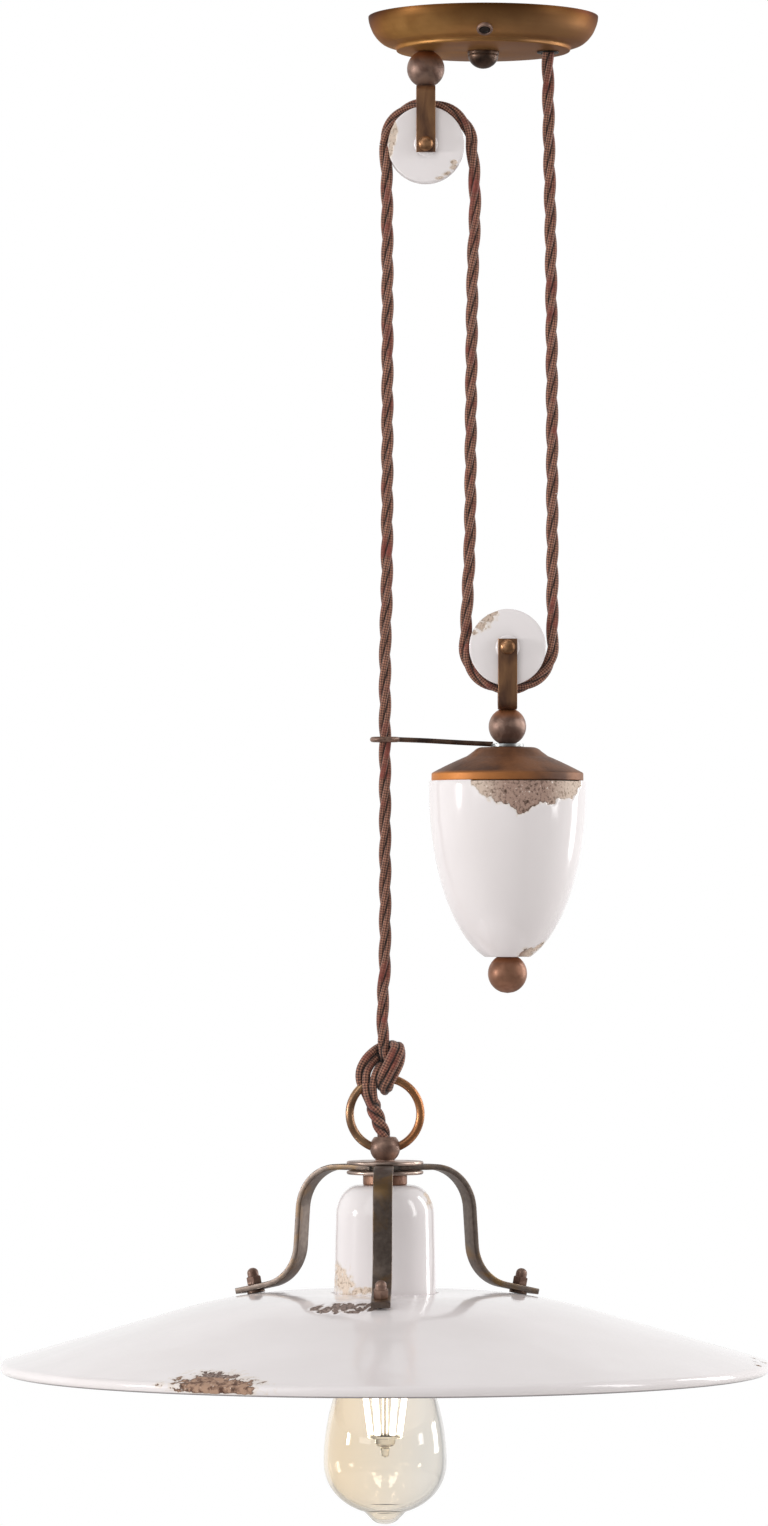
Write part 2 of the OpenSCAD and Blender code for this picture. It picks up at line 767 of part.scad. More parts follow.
module weight_urn() {
    color("whitesmoke")
    translate([weight_x, 0, weight_bottom_z])
        rotate_extrude()
            difference() {
                polygon(concat([[0, 0], [0, weight_h], [weight_d/2, weight_h]], weight_curve(0, 0)));
                polygon(concat([[0, weight_wall], [0, weight_h + past],
                    [weight_d/2 - weight_wall, weight_h + past]],
                    weight_curve(weight_wall, weight_wall)));
                translate([-past, -past]) square([stem_d/2 + fit_gap + past, weight_wall + 2*past]);
            }
}

// The iron filling that makes the weight heavy
module weight_core() {
    gap = weight_wall + seat_gap;
    color("dimgray")
    translate([weight_x, 0, weight_bottom_z])
        rotate_extrude()
            difference() {
                polygon(concat([[0, weight_wall], [0, weight_h], [weight_d/2 - gap, weight_h]],
                    weight_curve(gap, weight_wall)));
                translate([-past, -past])
                    square([stem_d/2 + fit_gap + past, weight_h + 2*past]);
            }
}

module weight_finial() {
    color("sienna")
    difference() {
        translate([weight_x, 0, finial_z]) sphere(d = finial_d);
        translate([weight_x - finial_d, -finial_d, weight_bottom_z]) cube(2*finial_d);
        translate([weight_x, 0, finial_z - seat_gap])
            cylinder(d = stem_d + 2*fit_gap, h = finial_d);
    }
}

// ---- Lamp carrier ----

module carry_ring() {
    color("tan")
    translate([lamp_x, 0, ring_z])
        rotate([90, 0, 0]) rotate_extrude() translate([ring_d/2, 0]) circle(d = ring_wire_d);
}

// A ball with a cross hole that follows the ring, a socket for the flex and a tapped hole below
module gland_ball() {
    color("tan")
    difference() {
        union() {
            intersection() {
                translate([lamp_x, 0, gland_z]) sphere(d = gland_d);
                translate([lamp_x - gland_d, -gland_d, gland_bottom_z])
                    cube([2*gland_d, 2*gland_d, gland_top_z - gland_bottom_z]);
            }
            translate([lamp_x, 0, gland_bottom_z]) cylinder(d = gland_neck_d, h = 2.4);
        }
        translate([lamp_x, 0, ring_z - ring_hole_drop])
            rotate([90, 0, 0]) rotate_extrude() translate([ring_d/2, 0]) circle(d = ring_hole_d);
        translate([lamp_x, 0, gland_top_z - gland_socket_h])
            cylinder(d = gland_socket_d, h = gland_socket_h + past);
        translate([lamp_x, 0, gland_bottom_z - past])
            cylinder(d = nipple_d + 2*fit_gap, h = nipple_top_z - gland_bottom_z + past);
    }
}

// One clamping plate with its middle hole and rivet holes
module clamp_plate(z) {
    translate([lamp_x, 0, z])
        difference() {
            cylinder(d = plate_d, h = plate_t);
            translate([0, 0, -past]) cylinder(d = nipple_d + 2*fit_gap, h = plate_t + 2*past);
            at_each_arm() translate([rivet_r, 0, -past])
                cylinder(d = rivet_d + 2*fit_gap, h = plate_t + 2*past);
        }
}

module at_each_arm() {
    for (a = arm_angles) rotate([0, 0, a]) children();
}

module top_plate() {
    color("rosybrown") clamp_plate(gland_bottom_z - plate_t);
}

module bottom_plate() {
    color("rosybrown") clamp_plate(collar_top_z);
}

module plate_rivets() {
    color("dimgray")
    translate([lamp_x, 0, collar_top_z])
        at_each_arm() translate([rivet_r, 0, 0]) cylinder(d = rivet_d, h = 2*plate_t + arm_t);
}

// Places along a flat bar that goes straight or bends by its steps, [length] or [radius, angle],
// as [x, y, heading]
function bent_path(steps, p = [0, 0, 0], i = 0) = i == len(steps) ? [p]
    : let (next = len(steps[i]) == 1 ? [ahead(p, steps[i][0])] : bend(p, steps[i][0], steps[i][1]))
        concat([p], [for (k = [0:len(next) - 2]) next[k]], bent_path(steps, next[len(next) - 1], i + 1));
function ahead(p, l) = [p[0] + l*cos(p[2]), p[1] + l*sin(p[2]), p[2]];
function bend(p, r, angle, parts = 9) = [for (k = [1:parts]) let (h = p[2] + angle*k/parts)
    [p[0] + sign(angle)*r*(sin(h) - sin(p[2])), p[1] - sign(angle)*r*(cos(h) - cos(p[2])), h]];

// Such a bar seen edge on
module bent_bar(steps, t) {
    path = bent_path(steps);
    last = len(path) - 1;
    polygon(concat(
        [for (p = path) [p[0] - t/2*sin(p[2]), p[1] + t/2*cos(p[2])]],
        [for (i = [last:-1:0]) let (p = path[i]) [p[0] + t/2*sin(p[2]), p[1] - t/2*cos(p[2])]]));
}

// One arm along +X: out from the plates, down beside the cup and out again along the shade
module arm() {
    difference() {
        translate([arm_start_r, 0, arm_z])
            rotate([90, 0, 0]) linear_extrude(arm_w, center = true)
                bent_bar([[arm_run], [arm_top_bend_r, -arm_turn], [arm_leg],
                    [arm_foot_bend_r, foot_turn], [foot_l]], arm_t);
        translate([rivet_r, 0, arm_z]) cylinder(d = rivet_d + 2*fit_gap, h = 2*arm_t, center = true);
        at_foot() cylinder(d = shade_bolt_d + 2*fit_gap, h = 4*arm_t, center = true);
    }
}

// The place of the shade's bolt on an arm along +X, square to the foot
module at_foot() {
    translate([shade_bolt_r, 0, foot_z]) rotate([0, bolt_tilt, 0]) children();
}

module lamp_arm(i) {
    color("dimgray") translate([lamp_x, 0, 0]) rotate([0, 0, arm_angles[i]]) arm();
}

module arm_front() {
    lamp_arm(0);
}

module arm_left() {
    lamp_arm(1);
}

module arm_right() {
    lamp_arm(2);
}

// The hollow threaded tube from the ball to the lampholder
module lamp_nipple() {
    color("goldenrod")
    translate([lamp_x, 0, nipple_end_z])
        difference() {
            cylinder(d = nipple_d, h = nipple_top_z - nipple_end_z);
            translate([0, 0, -past]) cylinder(d = nipple_d - 3, h = nipple_top_z - nipple_end_z + 2*past);
        }
}

module neck_collar() {
    color("rosybrown")
    translate([lamp_x, 0, cup_top_z])
        difference() {
            cylinder(d = collar_d, h = collar_h);
            translate([0, 0, -past]) cylinder(d = nipple_d + 2*fit_gap, h = collar_h + 2*past);
        }
}

module nipple_nut() {
    color("goldenrod")
    translate([lamp_x, 0, holder_top_z])
        difference() {
            hex_prism(nipple_nut_flats, nipple_nut_h);
            translate([0, 0, -past]) cylinder(d = nipple_d + 2*fit_gap, h = nipple_nut_h + 2*past);
        }
}

// ---- Lampholder ----

// Side of the cup as [radius, depth]: a flat top, a rounded shoulder and an upright wall
function cup_curve(inset) = [
    for (i = [0:8]) let (a = 90*i/8)
        [cup_flat_r + (cup_d/2 - cup_taper - cup_flat_r - inset)*sin(a),
            -inset - (cup_shoulder_h - inset)*(1 - cos(a))]];

module lampholder_cup() {
    color("whitesmoke")
    translate([lamp_x, 0, cup_top_z])
        rotate_extrude()
            difference() {
                polygon(concat([[0, 0]], cup_curve(0), [[cup_d/2, -cup_h], [0, -cup_h]]));
                polygon(concat([[0, -cup_wall]], cup_curve(cup_wall),
                    [[cup_d/2 - cup_wall, -cup_h - past], [0, -cup_h - past]]));
                translate([-past, -2*cup_wall]) square([nipple_d/2 + fit_gap + past, 3*cup_wall]);
            }
}

// A ceramic lampholder with a tapered top and a socket below
module lampholder() {
    r = holder_d/2;
    color("ivory")
    translate([lamp_x, 0, holder_top_z])
        rotate_extrude()
            difference() {
                polygon([[0, 0], [r - 7, 0], [r, -9], [r, -holder_h], [0, -holder_h]]);
                translate([-past, -holder_h - past])
                    square([socket_d/2 + past, socket_roof_z - holder_bottom_z + past]);
                translate([-past, nipple_end_z - holder_top_z - seat_gap])
                    square([nipple_d/2 + fit_gap + past, 2*holder_h]);
            }
}

// The brass liner that the bulb screws into
module socket_shell() {
    color("goldenrod")
    translate([lamp_x, 0, holder_bottom_z + 2])
        difference() {
            cylinder(d = socket_d - 2*fit_gap, h = socket_shell_h);
            translate([0, 0, -past])
                cylinder(d = socket_d - 2*fit_gap - 2*shell_t, h = socket_shell_h + 2*past);
        }
}

module centre_contact() {
    color("goldenrod")
    translate([lamp_x, 0, socket_roof_z - contact_t]) cylinder(d = 9, h = contact_t);
}

// ---- Shade ----

// Upper or lower line of the shade's section, as [radius, height]
function shade_line(drop) = concat(
    [[shade_hole_d/2, shade_top_z - drop], [shade_flat_r, shade_top_z - drop]],
    [for (i = [1:7]) let (a = shade_slope*i/7)
        [shade_flat_r + (shade_curve_r - drop)*sin(a),
            shade_top_z - drop - (shade_curve_r - drop)*(1 - cos(a))]]);

module shade() {
    lip_z = shade_top_z - shade_fall(shade_lip_at) - shade_lip_r/cos(shade_slope);
    lean = [sin(shade_slope), cos(shade_slope)];
    at = [shade_lip_at, lip_z];
    top = shade_line(0);
    under = shade_line(shade_wall);
    color("white")
    translate([lamp_x, 0, 0])
        difference() {
            rotate_extrude() {
                polygon(concat(top, [at + shade_lip_r*lean],
                    [at + (shade_lip_r - shade_wall)*lean],
                    [for (i = [len(under) - 1:-1:0]) under[i]]));
                translate(at) circle(shade_lip_r);
            }
            at_each_arm() at_foot()
                cylinder(d = shade_bolt_d + 2*fit_gap, h = 8*shade_wall, center = true);
        }
}

module shade_bolts() {
    color("dimgray")
    translate([lamp_x, 0, 0])
        at_each_arm() at_foot() {
            translate([0, 0, -under_shade - bolt_washer_t])
                cylinder(d = shade_bolt_d, h = under_shade + bolt_washer_t + arm_t/2 + acorn_thread_h - 0.4);
            translate([0, 0, -under_shade - bolt_washer_t - shade_bolt_head_h])
                cylinder(d = 1.9*shade_bolt_d, h = shade_bolt_head_h);
        }
}

// Acorn nuts with a hexagon foot and a domed top
module acorn_nuts() {
    color("tan")
    translate([lamp_x, 0, 0])
        at_each_arm() at_foot() translate([0, 0, arm_t/2])
            difference() {
                union() {
                    hex_prism(acorn_flats, acorn_hex_h);
                    translate([0, 0, acorn_hex_h])
                        cylinder(d = acorn_dome_d, h = acorn_h - acorn_hex_h - acorn_dome_h);
                    translate([0, 0, acorn_h - acorn_dome_h]) dome(acorn_dome_d, acorn_dome_h);
                }
                translate([0, 0, -past])
                    cylinder(d = shade_bolt_d + 2*fit_gap, h = acorn_thread_h + past);
            }
}

module washers(z, d, t) {
    translate([lamp_x, 0, 0])
        at_each_arm() at_foot() translate([0, 0, z])
            difference() {
                cylinder(d = d, h = t);
                translate([0, 0, -past]) cylinder(d = shade_bolt_d + 2*fit_gap, h = t + 2*past);
            }
}

module foot_washers() {
    color("dimgray") washers(-arm_t/2 - foot_washer_t, foot_washer_d, foot_washer_t);
}

module bolt_washers() {
    color("dimgray") washers(-under_shade - bolt_washer_t, bolt_washer_d, bolt_washer_t);
}

// ---- Bulb ----

// Side of the bulb's glass, as [radius, height], from the cap down to the tip
function bulb_curve(inset) = let (
        r = bulb_d/2 - inset, neck = bulb_neck_r - inset, shoulder = bulb_cap_z - 3,
        belly_h = bulb_belly_h - bulb_tip_h - inset)
    concat(
        [[neck, bulb_cap_z], [neck, shoulder]],
        [for (i = [1:10]) let (t = i/10)
            [neck + (r - neck)*pow(sin(90*t), 1.4), shoulder + (belly_z - shoulder)*t]],
        [for (i = [1:7]) let (a = 10*i) [r*cos(a), belly_z - belly_h*pow(sin(a), 0.92)]],
        arc(0, bulb_bottom_z + bulb_tip_r, bulb_tip_r - inset, -12, -90, 6));

module bulb_glass() {
    color("lightblue", 0.5)
    translate([lamp_x, 0, 0])
        rotate_extrude()
            difference() {
                polygon(concat([[0, bulb_cap_z]], bulb_curve(0)));
                polygon(concat([[0, bulb_cap_z + past], [bulb_neck_r - bulb_wall, bulb_cap_z + past]],
                    bulb_curve(bulb_wall)));
            }
}

module bulb_cap() {
    color("goldenrod")
    translate([lamp_x, 0, bulb_cap_z]) {
        cylinder(d = bulb_cap_d, h = bulb_cap_h - 5);
        translate([0, 0, bulb_cap_h - 5]) cylinder(d1 = bulb_cap_d - 1, d2 = 10, h = 4);
        translate([0, 0, bulb_cap_h - 1]) cylinder(d = 8, h = 1);
    }
}

// The glass stem that carries the filaments
module bulb_stem() {
    color("lightblue", 0.6)
    translate([lamp_x, 0, stem_bottom_z]) {
        cylinder(d = stem_rod_d, h = bulb_cap_z - stem_bottom_z);
        translate([0, 0, bulb_cap_z - stem_bottom_z - stem_flare_h])
            cylinder(d1 = stem_rod_d + 0.8, d2 = stem_flare_d, h = stem_flare_h);
        cylinder(r = filament_foot_r + filament_d/2, h = stem_plate_t);
    }
}

module bulb_filaments() {
    color("orange")
    for (i = [0:filament_count - 1])
        translate([lamp_x, 0, 0]) rotate([0, 0, 360*(i + 0.5)/filament_count])
            bar([filament_foot_r, 0, stem_bottom_z + stem_plate_t + seat_gap],
                [filament_head_r, 0, stem_bottom_z + filament_h], filament_d);
}

// ---- Flex ----

module flex_right() {
    color("sienna") tube(strand(right_places, 15));
}

module flex_lower_turn() {
    color("sienna") tube(half_turn(lower_centre, lower_turn_r, -1, 10));
}

module flex_middle() {
    color("sienna") tube(strand(middle_places, 13));
}

module flex_upper_turn() {
    color("sienna") tube(half_turn(upper_centre, upper_turn_r, 1, 10));
}

module flex_left() {
    color("sienna") tube(strand(left_places, 22));
}

// The knot as one rounded barrel round the top of the ring
module flex_knot() {
    color("sienna")
    difference() {
        translate([knot_at[0], 0, knot_at[1] - knot_h/2])
            rotate_extrude()
                intersection() {
                    rounded_square(knot_d, knot_h, 7);
                    square([knot_d, knot_h]);
                }
        translate([lamp_x, 0, ring_z])
            rotate([90, 0, 0])
                rotate_extrude() translate([ring_d/2, 0]) circle(d = ring_wire_d + 2*fit_gap);
    }
}

module flex_tail() {
    color("sienna") tube(tail_route);
}

rose_cover();
ceiling_bracket();
carrier_plate();
rose_stud();
rose_dome_nut();
rose_side_screws();
flex_bush();
flex_grip();
grip_screw();
terminal_block();
upper_ball();
upper_bolt();
upper_bolt_nut();
upper_fork();
upper_axle();
upper_sheave();
lower_fork();
lower_axle();
lower_sheave();
lower_ball();
guide_arm();
weight_bolt();
weight_cap();
weight_urn();
weight_core();
weight_finial();
carry_ring();
gland_ball();
top_plate();
bottom_plate();
plate_rivets();
arm_front();
arm_left();
arm_right();
lamp_nipple();
neck_collar();
nipple_nut();
lampholder_cup();
lampholder();
socket_shell();
centre_contact();
shade();
shade_bolts();
acorn_nuts();
foot_washers();
bolt_washers();
bulb_glass();
bulb_cap();
bulb_stem();
bulb_filaments();
flex_right();
flex_lower_turn();
flex_middle();
flex_upper_turn();
flex_left();
flex_knot();
flex_tail();
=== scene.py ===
import math

import bpy
import numpy as np
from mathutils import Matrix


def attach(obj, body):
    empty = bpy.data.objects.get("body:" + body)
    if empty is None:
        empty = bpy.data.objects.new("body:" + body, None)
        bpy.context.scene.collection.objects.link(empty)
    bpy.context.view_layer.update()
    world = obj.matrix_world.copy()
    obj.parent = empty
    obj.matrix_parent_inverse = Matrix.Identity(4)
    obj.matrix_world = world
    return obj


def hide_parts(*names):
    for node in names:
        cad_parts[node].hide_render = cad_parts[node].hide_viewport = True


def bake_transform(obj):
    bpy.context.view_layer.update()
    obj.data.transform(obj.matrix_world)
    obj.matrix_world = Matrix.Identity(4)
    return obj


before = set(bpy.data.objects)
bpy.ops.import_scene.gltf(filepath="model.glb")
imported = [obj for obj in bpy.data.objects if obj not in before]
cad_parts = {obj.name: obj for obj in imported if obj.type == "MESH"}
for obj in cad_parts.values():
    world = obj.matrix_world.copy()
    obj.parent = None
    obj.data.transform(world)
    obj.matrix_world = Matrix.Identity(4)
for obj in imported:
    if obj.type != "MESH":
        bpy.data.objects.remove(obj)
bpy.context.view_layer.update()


# ---- The camera ----
# A long lens stands 3.7 m away, 0.2 m above the lamp's shade, and tilts up by one degree. The shade's
# and the rose's ellipses in the photograph give both, and the size of the bulb gives the scale.

photo_height_px = 1526
focal_px = 7087
horizon_px = 905.2
tilt_up = math.atan((horizon_px - photo_height_px / 2) / focal_px)

camera = bpy.data.cameras.new("camera")
camera.sensor_width = 36
camera.lens = camera.sensor_width * focal_px / photo_height_px
camera.clip_end = 100
eye = bpy.data.objects.new("camera", camera)
eye.location = (-0.0518, -3.691, -0.4635)
eye.rotation_euler = (math.radians(90) + tilt_up, 0, 0)
bpy.context.scene.collection.objects.link(eye)
bpy.context.scene.camera = eye


# ---- The flex ----
# Three rubber cores in woven brown textile sleeves, twisted together right-handed. One length runs from
# the rose down under the weight's sheave, up over the fixed sheave and down to a knot on the ring.

mm = 0.001
strand_r = 1.68 * mm
lay_r = 1.66 * mm
twist_pitch = 52 * mm


def srgb(code):
    """Linear red, green, blue and alpha of an sRGB hex colour, by the inverse of the sRGB curve."""
    c = np.array([int(code[i : i + 2], 16) for i in (1, 3, 5)]) / 255
    return (*np.where(c <= 0.04045, c / 12.92, ((c + 0.055) / 1.055) ** 2.4), 1)


def feed(node, sockets):
    """Gives inputs, by name or number, a value, a hex colour or the output that feeds them. A node stands
    for its output Fac, or else for the first one in use."""
    for name, value in sockets.items():
        if isinstance(value, bpy.types.Node):
            outputs = value.outputs
            value = outputs["Fac"] if "Fac" in outputs else next(out for out in outputs if out.enabled)
        if isinstance(value, bpy.types.NodeSocket):
            node.id_data.links.new(value, node.inputs[name])
        else:
            node.inputs[name].default_value = srgb(value) if isinstance(value, str) else value


def add(tree, kind, *values, **named):
    """Adds a shader node. The values go to its first inputs, or to the factor and the two colours of a mix.
    Names with a capital letter are other inputs, and the rest are settings."""
    node = tree.nodes.new("ShaderNode" + kind)
    places = range(len(values))
    if kind == "Mix":
        node.data_type, places = "RGBA", (0, 6, 7)
    sockets = dict(zip(places, values))
    for name, value in named.items():
        if name.islower():
            setattr(node, name, value)
        else:
            sockets[name] = value
    feed(node, sockets)
    return node


def finish_named(name, **sockets):
    """A material of one Principled surface with these socket values, as (material, tree, surface, place):
    place is the Object coordinate."""
    material = bpy.data.materials.new(name)
    material.use_nodes = True
    tree = material.node_tree
    surface = tree.nodes["Principled BSDF"]
    feed(surface, {socket.replace("_", " "): value for socket, value in sockets.items()})
    return material, tree, surface, add(tree, "TexCoord").outputs["Object"]


def skin(name, grid, material, loop=False, marks=None, uv=None):
    """A mesh over points [rows, columns, 3]: square faces join each row to the next and the last column to
    the first, and with loop the last row to the first. A row whose points coincide is a pole, and other
    open ends get a cap. The faces are turned so that the volume is positive. marks are attributes with a
    value at each point, and uv has the rows' and the columns' coordinates."""
    rows, columns = grid.shape[:2]
    index = np.arange(rows * columns).reshape(rows, columns)
    poles = [np.ptp(grid[end], axis=0).max() < 1e-9 for end in (0, -1)]
    for end, pole in zip((0, -1), poles):
        if pole and not loop:
            index[end] = index[end, 0]
    used, flat = np.unique(index, return_inverse=True)
    index = flat.reshape(rows, columns)
    points = grid.reshape(-1, 3)[used]
    lines = np.vstack([index, index[:1]]) if loop else index
    lines = np.hstack([lines, lines[:, :1]])
    i, j = np.meshgrid(np.arange(len(lines) - 1), np.arange(columns), indexing="ij")
    around = [(i, j), (i, j + 1), (i + 1, j + 1), (i + 1, j)]
    # Each corner of a face is a point's number, its row and its column.
    quads = np.stack([np.stack([lines[a, b], a, b], -1) for a, b in around], -2).reshape(-1, 4, 3)
    first, last = quads[:, 0, 0] == quads[:, 1, 0], quads[:, 2, 0] == quads[:, 3, 0]
    kinds = ((~first & ~last, [0, 1, 2, 3]), (first, [0, 2, 3]), (last, [0, 1, 2]))
    faces = [face for chosen, corners in kinds for face in quads[chosen][:, corners].tolist()]
    if not loop:
        for end, pole in zip((0, -1), poles):
            if not pole:
                order = range(columns) if end else range(columns)[::-1]
                faces.append([[index[end, k], end % rows, k] for k in order])
    fan = np.array([[f[0][0], f[k][0], f[k + 1][0]] for f in faces for k in range(1, len(f) - 1)])
    a, b, c = (points[fan[:, k]] for k in range(3))
    if np.einsum("ij,ij", a, np.cross(b, c)) < 0:
        faces = [face[::-1] for face in faces]
    mesh = bpy.data.meshes.new(name)
    mesh.from_pydata(points.tolist(), [], [[corner[0] for corner in face] for face in faces])
    if uv is not None:
        _, row, column = np.concatenate(faces).T
        along = np.append(uv[0], uv[0][-1])
        across = np.append(uv[1], uv[1][-1] + uv[1][1] - uv[1][0])
        layer = mesh.uv_layers.new(name="lay")
        layer.data.foreach_set("uv", np.stack([along[row], across[column]], -1).ravel())
    for mark, values in (marks or {}).items():
        attribute = mesh.attributes.new(mark, "FLOAT", "POINT")
        attribute.data.foreach_set("value", np.asarray(values).ravel()[used])
    mesh.shade_smooth()
    mesh.set_sharp_from_angle(angle=math.radians(40))
    mesh.materials.append(material)
    piece = bpy.data.objects.new(name, mesh)
    bpy.context.scene.collection.objects.link(piece)
    return piece


def joined(name, pieces):
    """One object from several that share a finish: their meshes are added end to end."""
    bpy.ops.object.select_all(action="DESELECT")
    for piece in pieces:
        piece.select_set(True)
    bpy.context.view_layer.objects.active = pieces[0]
    bpy.ops.object.join()
    pieces[0].name = pieces[0].data.name = name
    return pieces[0]


def through(points, steps):
    """A smooth line through points, with `steps` places from each point to the next: a cubic whose slope at
    a point is half the way from the point before it to the point after it."""
    p = np.asarray(points, float)
    p = np.vstack([2 * p[0] - p[1], p, 2 * p[-1] - p[-2]])
    t = (np.arange(steps) / steps)[None, :, None]
    a, b, c, d = (p[k : len(p) - 3 + k, None] for k in range(4))
    line = b + 0.5 * t * (c - a + t * (2 * a - 5 * b + 4 * c - d + t * (3 * (b - c) + d - a)))
    return np.vstack([line.reshape(-1, p.shape[1]), p[-2]])


def distance_along(line):
    """The length of a line from its first point to each of its points."""
    return np.concatenate([[0], np.cumsum(np.linalg.norm(np.diff(line, axis=0), axis=1))])


def carried_frames(line):
    """Two directions square to a line at each point. The first is carried along without twisting."""
    t = np.gradient(line, axis=0)
    t /= np.linalg.norm(t, axis=1)[:, None]
    side = np.cross([0.0, 1, 0], t[0])
    sides = []
    for direction in t:
        side = side - direction * (side @ direction)
        side /= np.linalg.norm(side)
        sides.append(side)
    sides = np.array(sides)
    return sides, np.cross(t, sides)


def full_turn(steps):
    """Angles of equal steps round a circle, from 0: 2 pi k / steps."""
    return 2 * np.pi * np.arange(steps) / steps


def spokes(a, n, b):
    """Directions at the angles a between two directions of each point of a line: n cos a + b sin a."""
    return np.cos(a)[..., None] * n[:, None] + np.sin(a)[..., None] * b[:, None]


def sleeved(node, cores, start, radius=strand_r):
    """Three strands in place of a CAD node, from their middle lines [n, 3 strands, 3]: each is a circle
    carried along, of one radius or of one at each point. The attribute gap paints shade
    between the strands: it goes from 0 at 1.55 radii from the nearest middle line of another strand, or of
    the same strand ten points further on, to 1 at 1.15."""
    radius = np.broadcast_to(radius, len(cores))[:, None, None]
    count = np.arange(len(cores))
    near_itself = np.abs(count[:, None] - count) < 10
    sides, one_metre = 12, 1.0
    strands = []
    for k in range(3):
        grid = cores[:, k, None] + radius * spokes(full_turn(sides), *carried_frames(cores[:, k]))
        apart = np.linalg.norm(grid.reshape(-1, 1, 3) - cores.reshape(1, -1, 3), axis=2)
        apart = apart.reshape(len(cores), sides, len(cores), 3)
        apart[..., k] += one_metre * near_itself[:, None]
        gap = np.clip((1.55 - apart.min(axis=(2, 3)) / radius[..., 0]) / 0.4, 0, 1)
        uv = (start + distance_along(cores[:, k]), np.arange(sides) / sides)
        strands.append(skin(f"{node}_{k}", grid, sleeve, marks={"gap": gap}, uv=uv))
    piece = joined(node + "_strands", strands)
    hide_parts(node)
    return piece


def laid(line, phase, wide=1):
    """Middle lines of three strands twisted round a line: strand k stands at lay_r times wide from it, at
    the angle phase + 2 pi k / 3 between the line's two carried directions."""
    a = phase[:, None] + full_turn(3)
    out = lay_r * np.broadcast_to(wide, len(line))[:, None, None]
    return line[:, None] + out * spokes(a, *carried_frames(line))


# Woven viscose sleeve, brown with red yarns: dull, with a faint sheen on the yarns' crowns. Two browns
# follow the weave's height, as painted shade in the braid's hollows and a painted highlight on its crowns,
# and the sleeve is painted darker still between the strands. The braid's diamonds are 1.3 mm long, as they
# look in the photograph.
sleeve, tree, surface, place = finish_named(
    "woven_textile", Roughness=0.82, Sheen_Weight=0.25, Sheen_Roughness=0.5
)
diamonds_around, diamond_pair = 4, 2.6 * mm
lay = add(tree, "SeparateXYZ", add(tree, "UVMap", uv_map="lay"))
slant = add(tree, "Math", lay.outputs["X"], 2 * math.pi / diamond_pair, operation="MULTIPLY")
yarns = []
for way in (1, -1):
    around = way * 2 * math.pi * diamonds_around
    turned_by = add(tree, "Math", lay.outputs["Y"], around, slant, operation="MULTIPLY_ADD")
    yarns.append(add(tree, "Math", turned_by, operation="SINE"))
crown = add(tree, "Math", yarns[0], yarns[1], operation="MULTIPLY")
level = add(tree, "MapRange", crown, -0.6, 0.9)
streak = add(tree, "TexNoise", place, Scale=420, Detail=3)
patch = add(tree, "TexNoise", place, Scale=95, Detail=2)
red = add(tree, "MapRange", patch, 0.52, 0.72)
# Painted shade and highlight: darker brown in the braid's hollows, lighter on its crowns.
brown = add(tree, "Mix", level, "#432319", "#ad7860")
tinted = add(tree, "Mix", red, brown, "#7e3a2e")
worn = add(tree, "MapRange", streak, 0.35, 0.7, 0.72, 1.18)
yarn = add(tree, "Mix", 1, tinted, worn, blend_type="MULTIPLY")
# Painted shade: the sleeve is painted near black where the strands press together.
gap = add(tree, "Attribute", attribute_name="gap")
crevice_shaded = add(tree, "Mix", gap, yarn, "#180c08")
weave = add(tree, "Bump", Height=level, Strength=0.5, Distance=0.15 * mm)
feed(surface, {"Base Color": crevice_shaded, "Normal": weave})

# The route, as part.scad has it: three strands and two half turns in the plane of the sheaves. The stiff
# flex leaves a sheave a little wide of it and swings back.
upper_axle = (-30, 0, -67)
lower_axle = (12.5, 0, -329.3)
flex_on_wheel_r = 21.25
right_places = [(33.75, -8), (33.75, -25), (34.2, -60), (35.2, -120), (35.8, -200), (36, -329.3)]
middle_places = [
    (-9.6, -329.3), (-8.4, -305), (-7, -270), (-6.4, -200),
    (-5.6, -135), (-4.4, -105), (-4.7, -82), (-6, -67),
]
left_places = [
    (-51.25, -67), (-50.3, -90), (-50, -160), (-50.3, -290),
    (-51.25, -340), (-51.25, -480), (-52.4, -512), (-52.4, -534),
]


def hanging(places):
    """A line down or up through places (x, z) in mm, with points about 2 mm apart in height."""
    step = 2 * mm
    line = through(places, 12) * mm
    z = np.linspace(line[0, 1], line[-1, 1], 1 + round(abs(line[-1, 1] - line[0, 1]) / step))
    down = line[np.argsort(line[:, 1])]
    return np.stack([np.interp(z, down[:, 1], down[:, 0]), 0 * z, z], -1)


def half_turn(centre, radii, way):
    """Points round a half circle from right to left, over the top or under the bottom. Its radius goes
    from the first through the second to the third, r = middle + (end - middle) cos^2 a, all in mm."""
    a = np.linspace(0, np.pi, 37)
    end = np.where(a < np.pi / 2, radii[0], radii[2])
    r = (radii[1] + (end - radii[1]) * np.cos(a) ** 2)[:, None]
    return (centre + r * np.stack([np.cos(a), 0 * a, way * np.sin(a)], -1)) * mm


runs = {
    "flex_right": hanging(right_places),
    "flex_lower_turn": half_turn(lower_axle, (23.5, flex_on_wheel_r, 22.1), -1),
    "flex_middle": hanging(middle_places),
    "flex_upper_turn": half_turn(upper_axle, (24, flex_on_wheel_r, flex_on_wheel_r), 1),
    "flex_left": hanging(left_places),
}
length_so_far = 0
flex = {}
for name, line in runs.items():
    far = distance_along(line)
    cores = laid(line, 2 * np.pi * (length_so_far + far) / twist_pitch)
    flex[name] = sleeved(name, cores, length_so_far)
    runs[name] = (line, far[-1])
    length_so_far += far[-1]

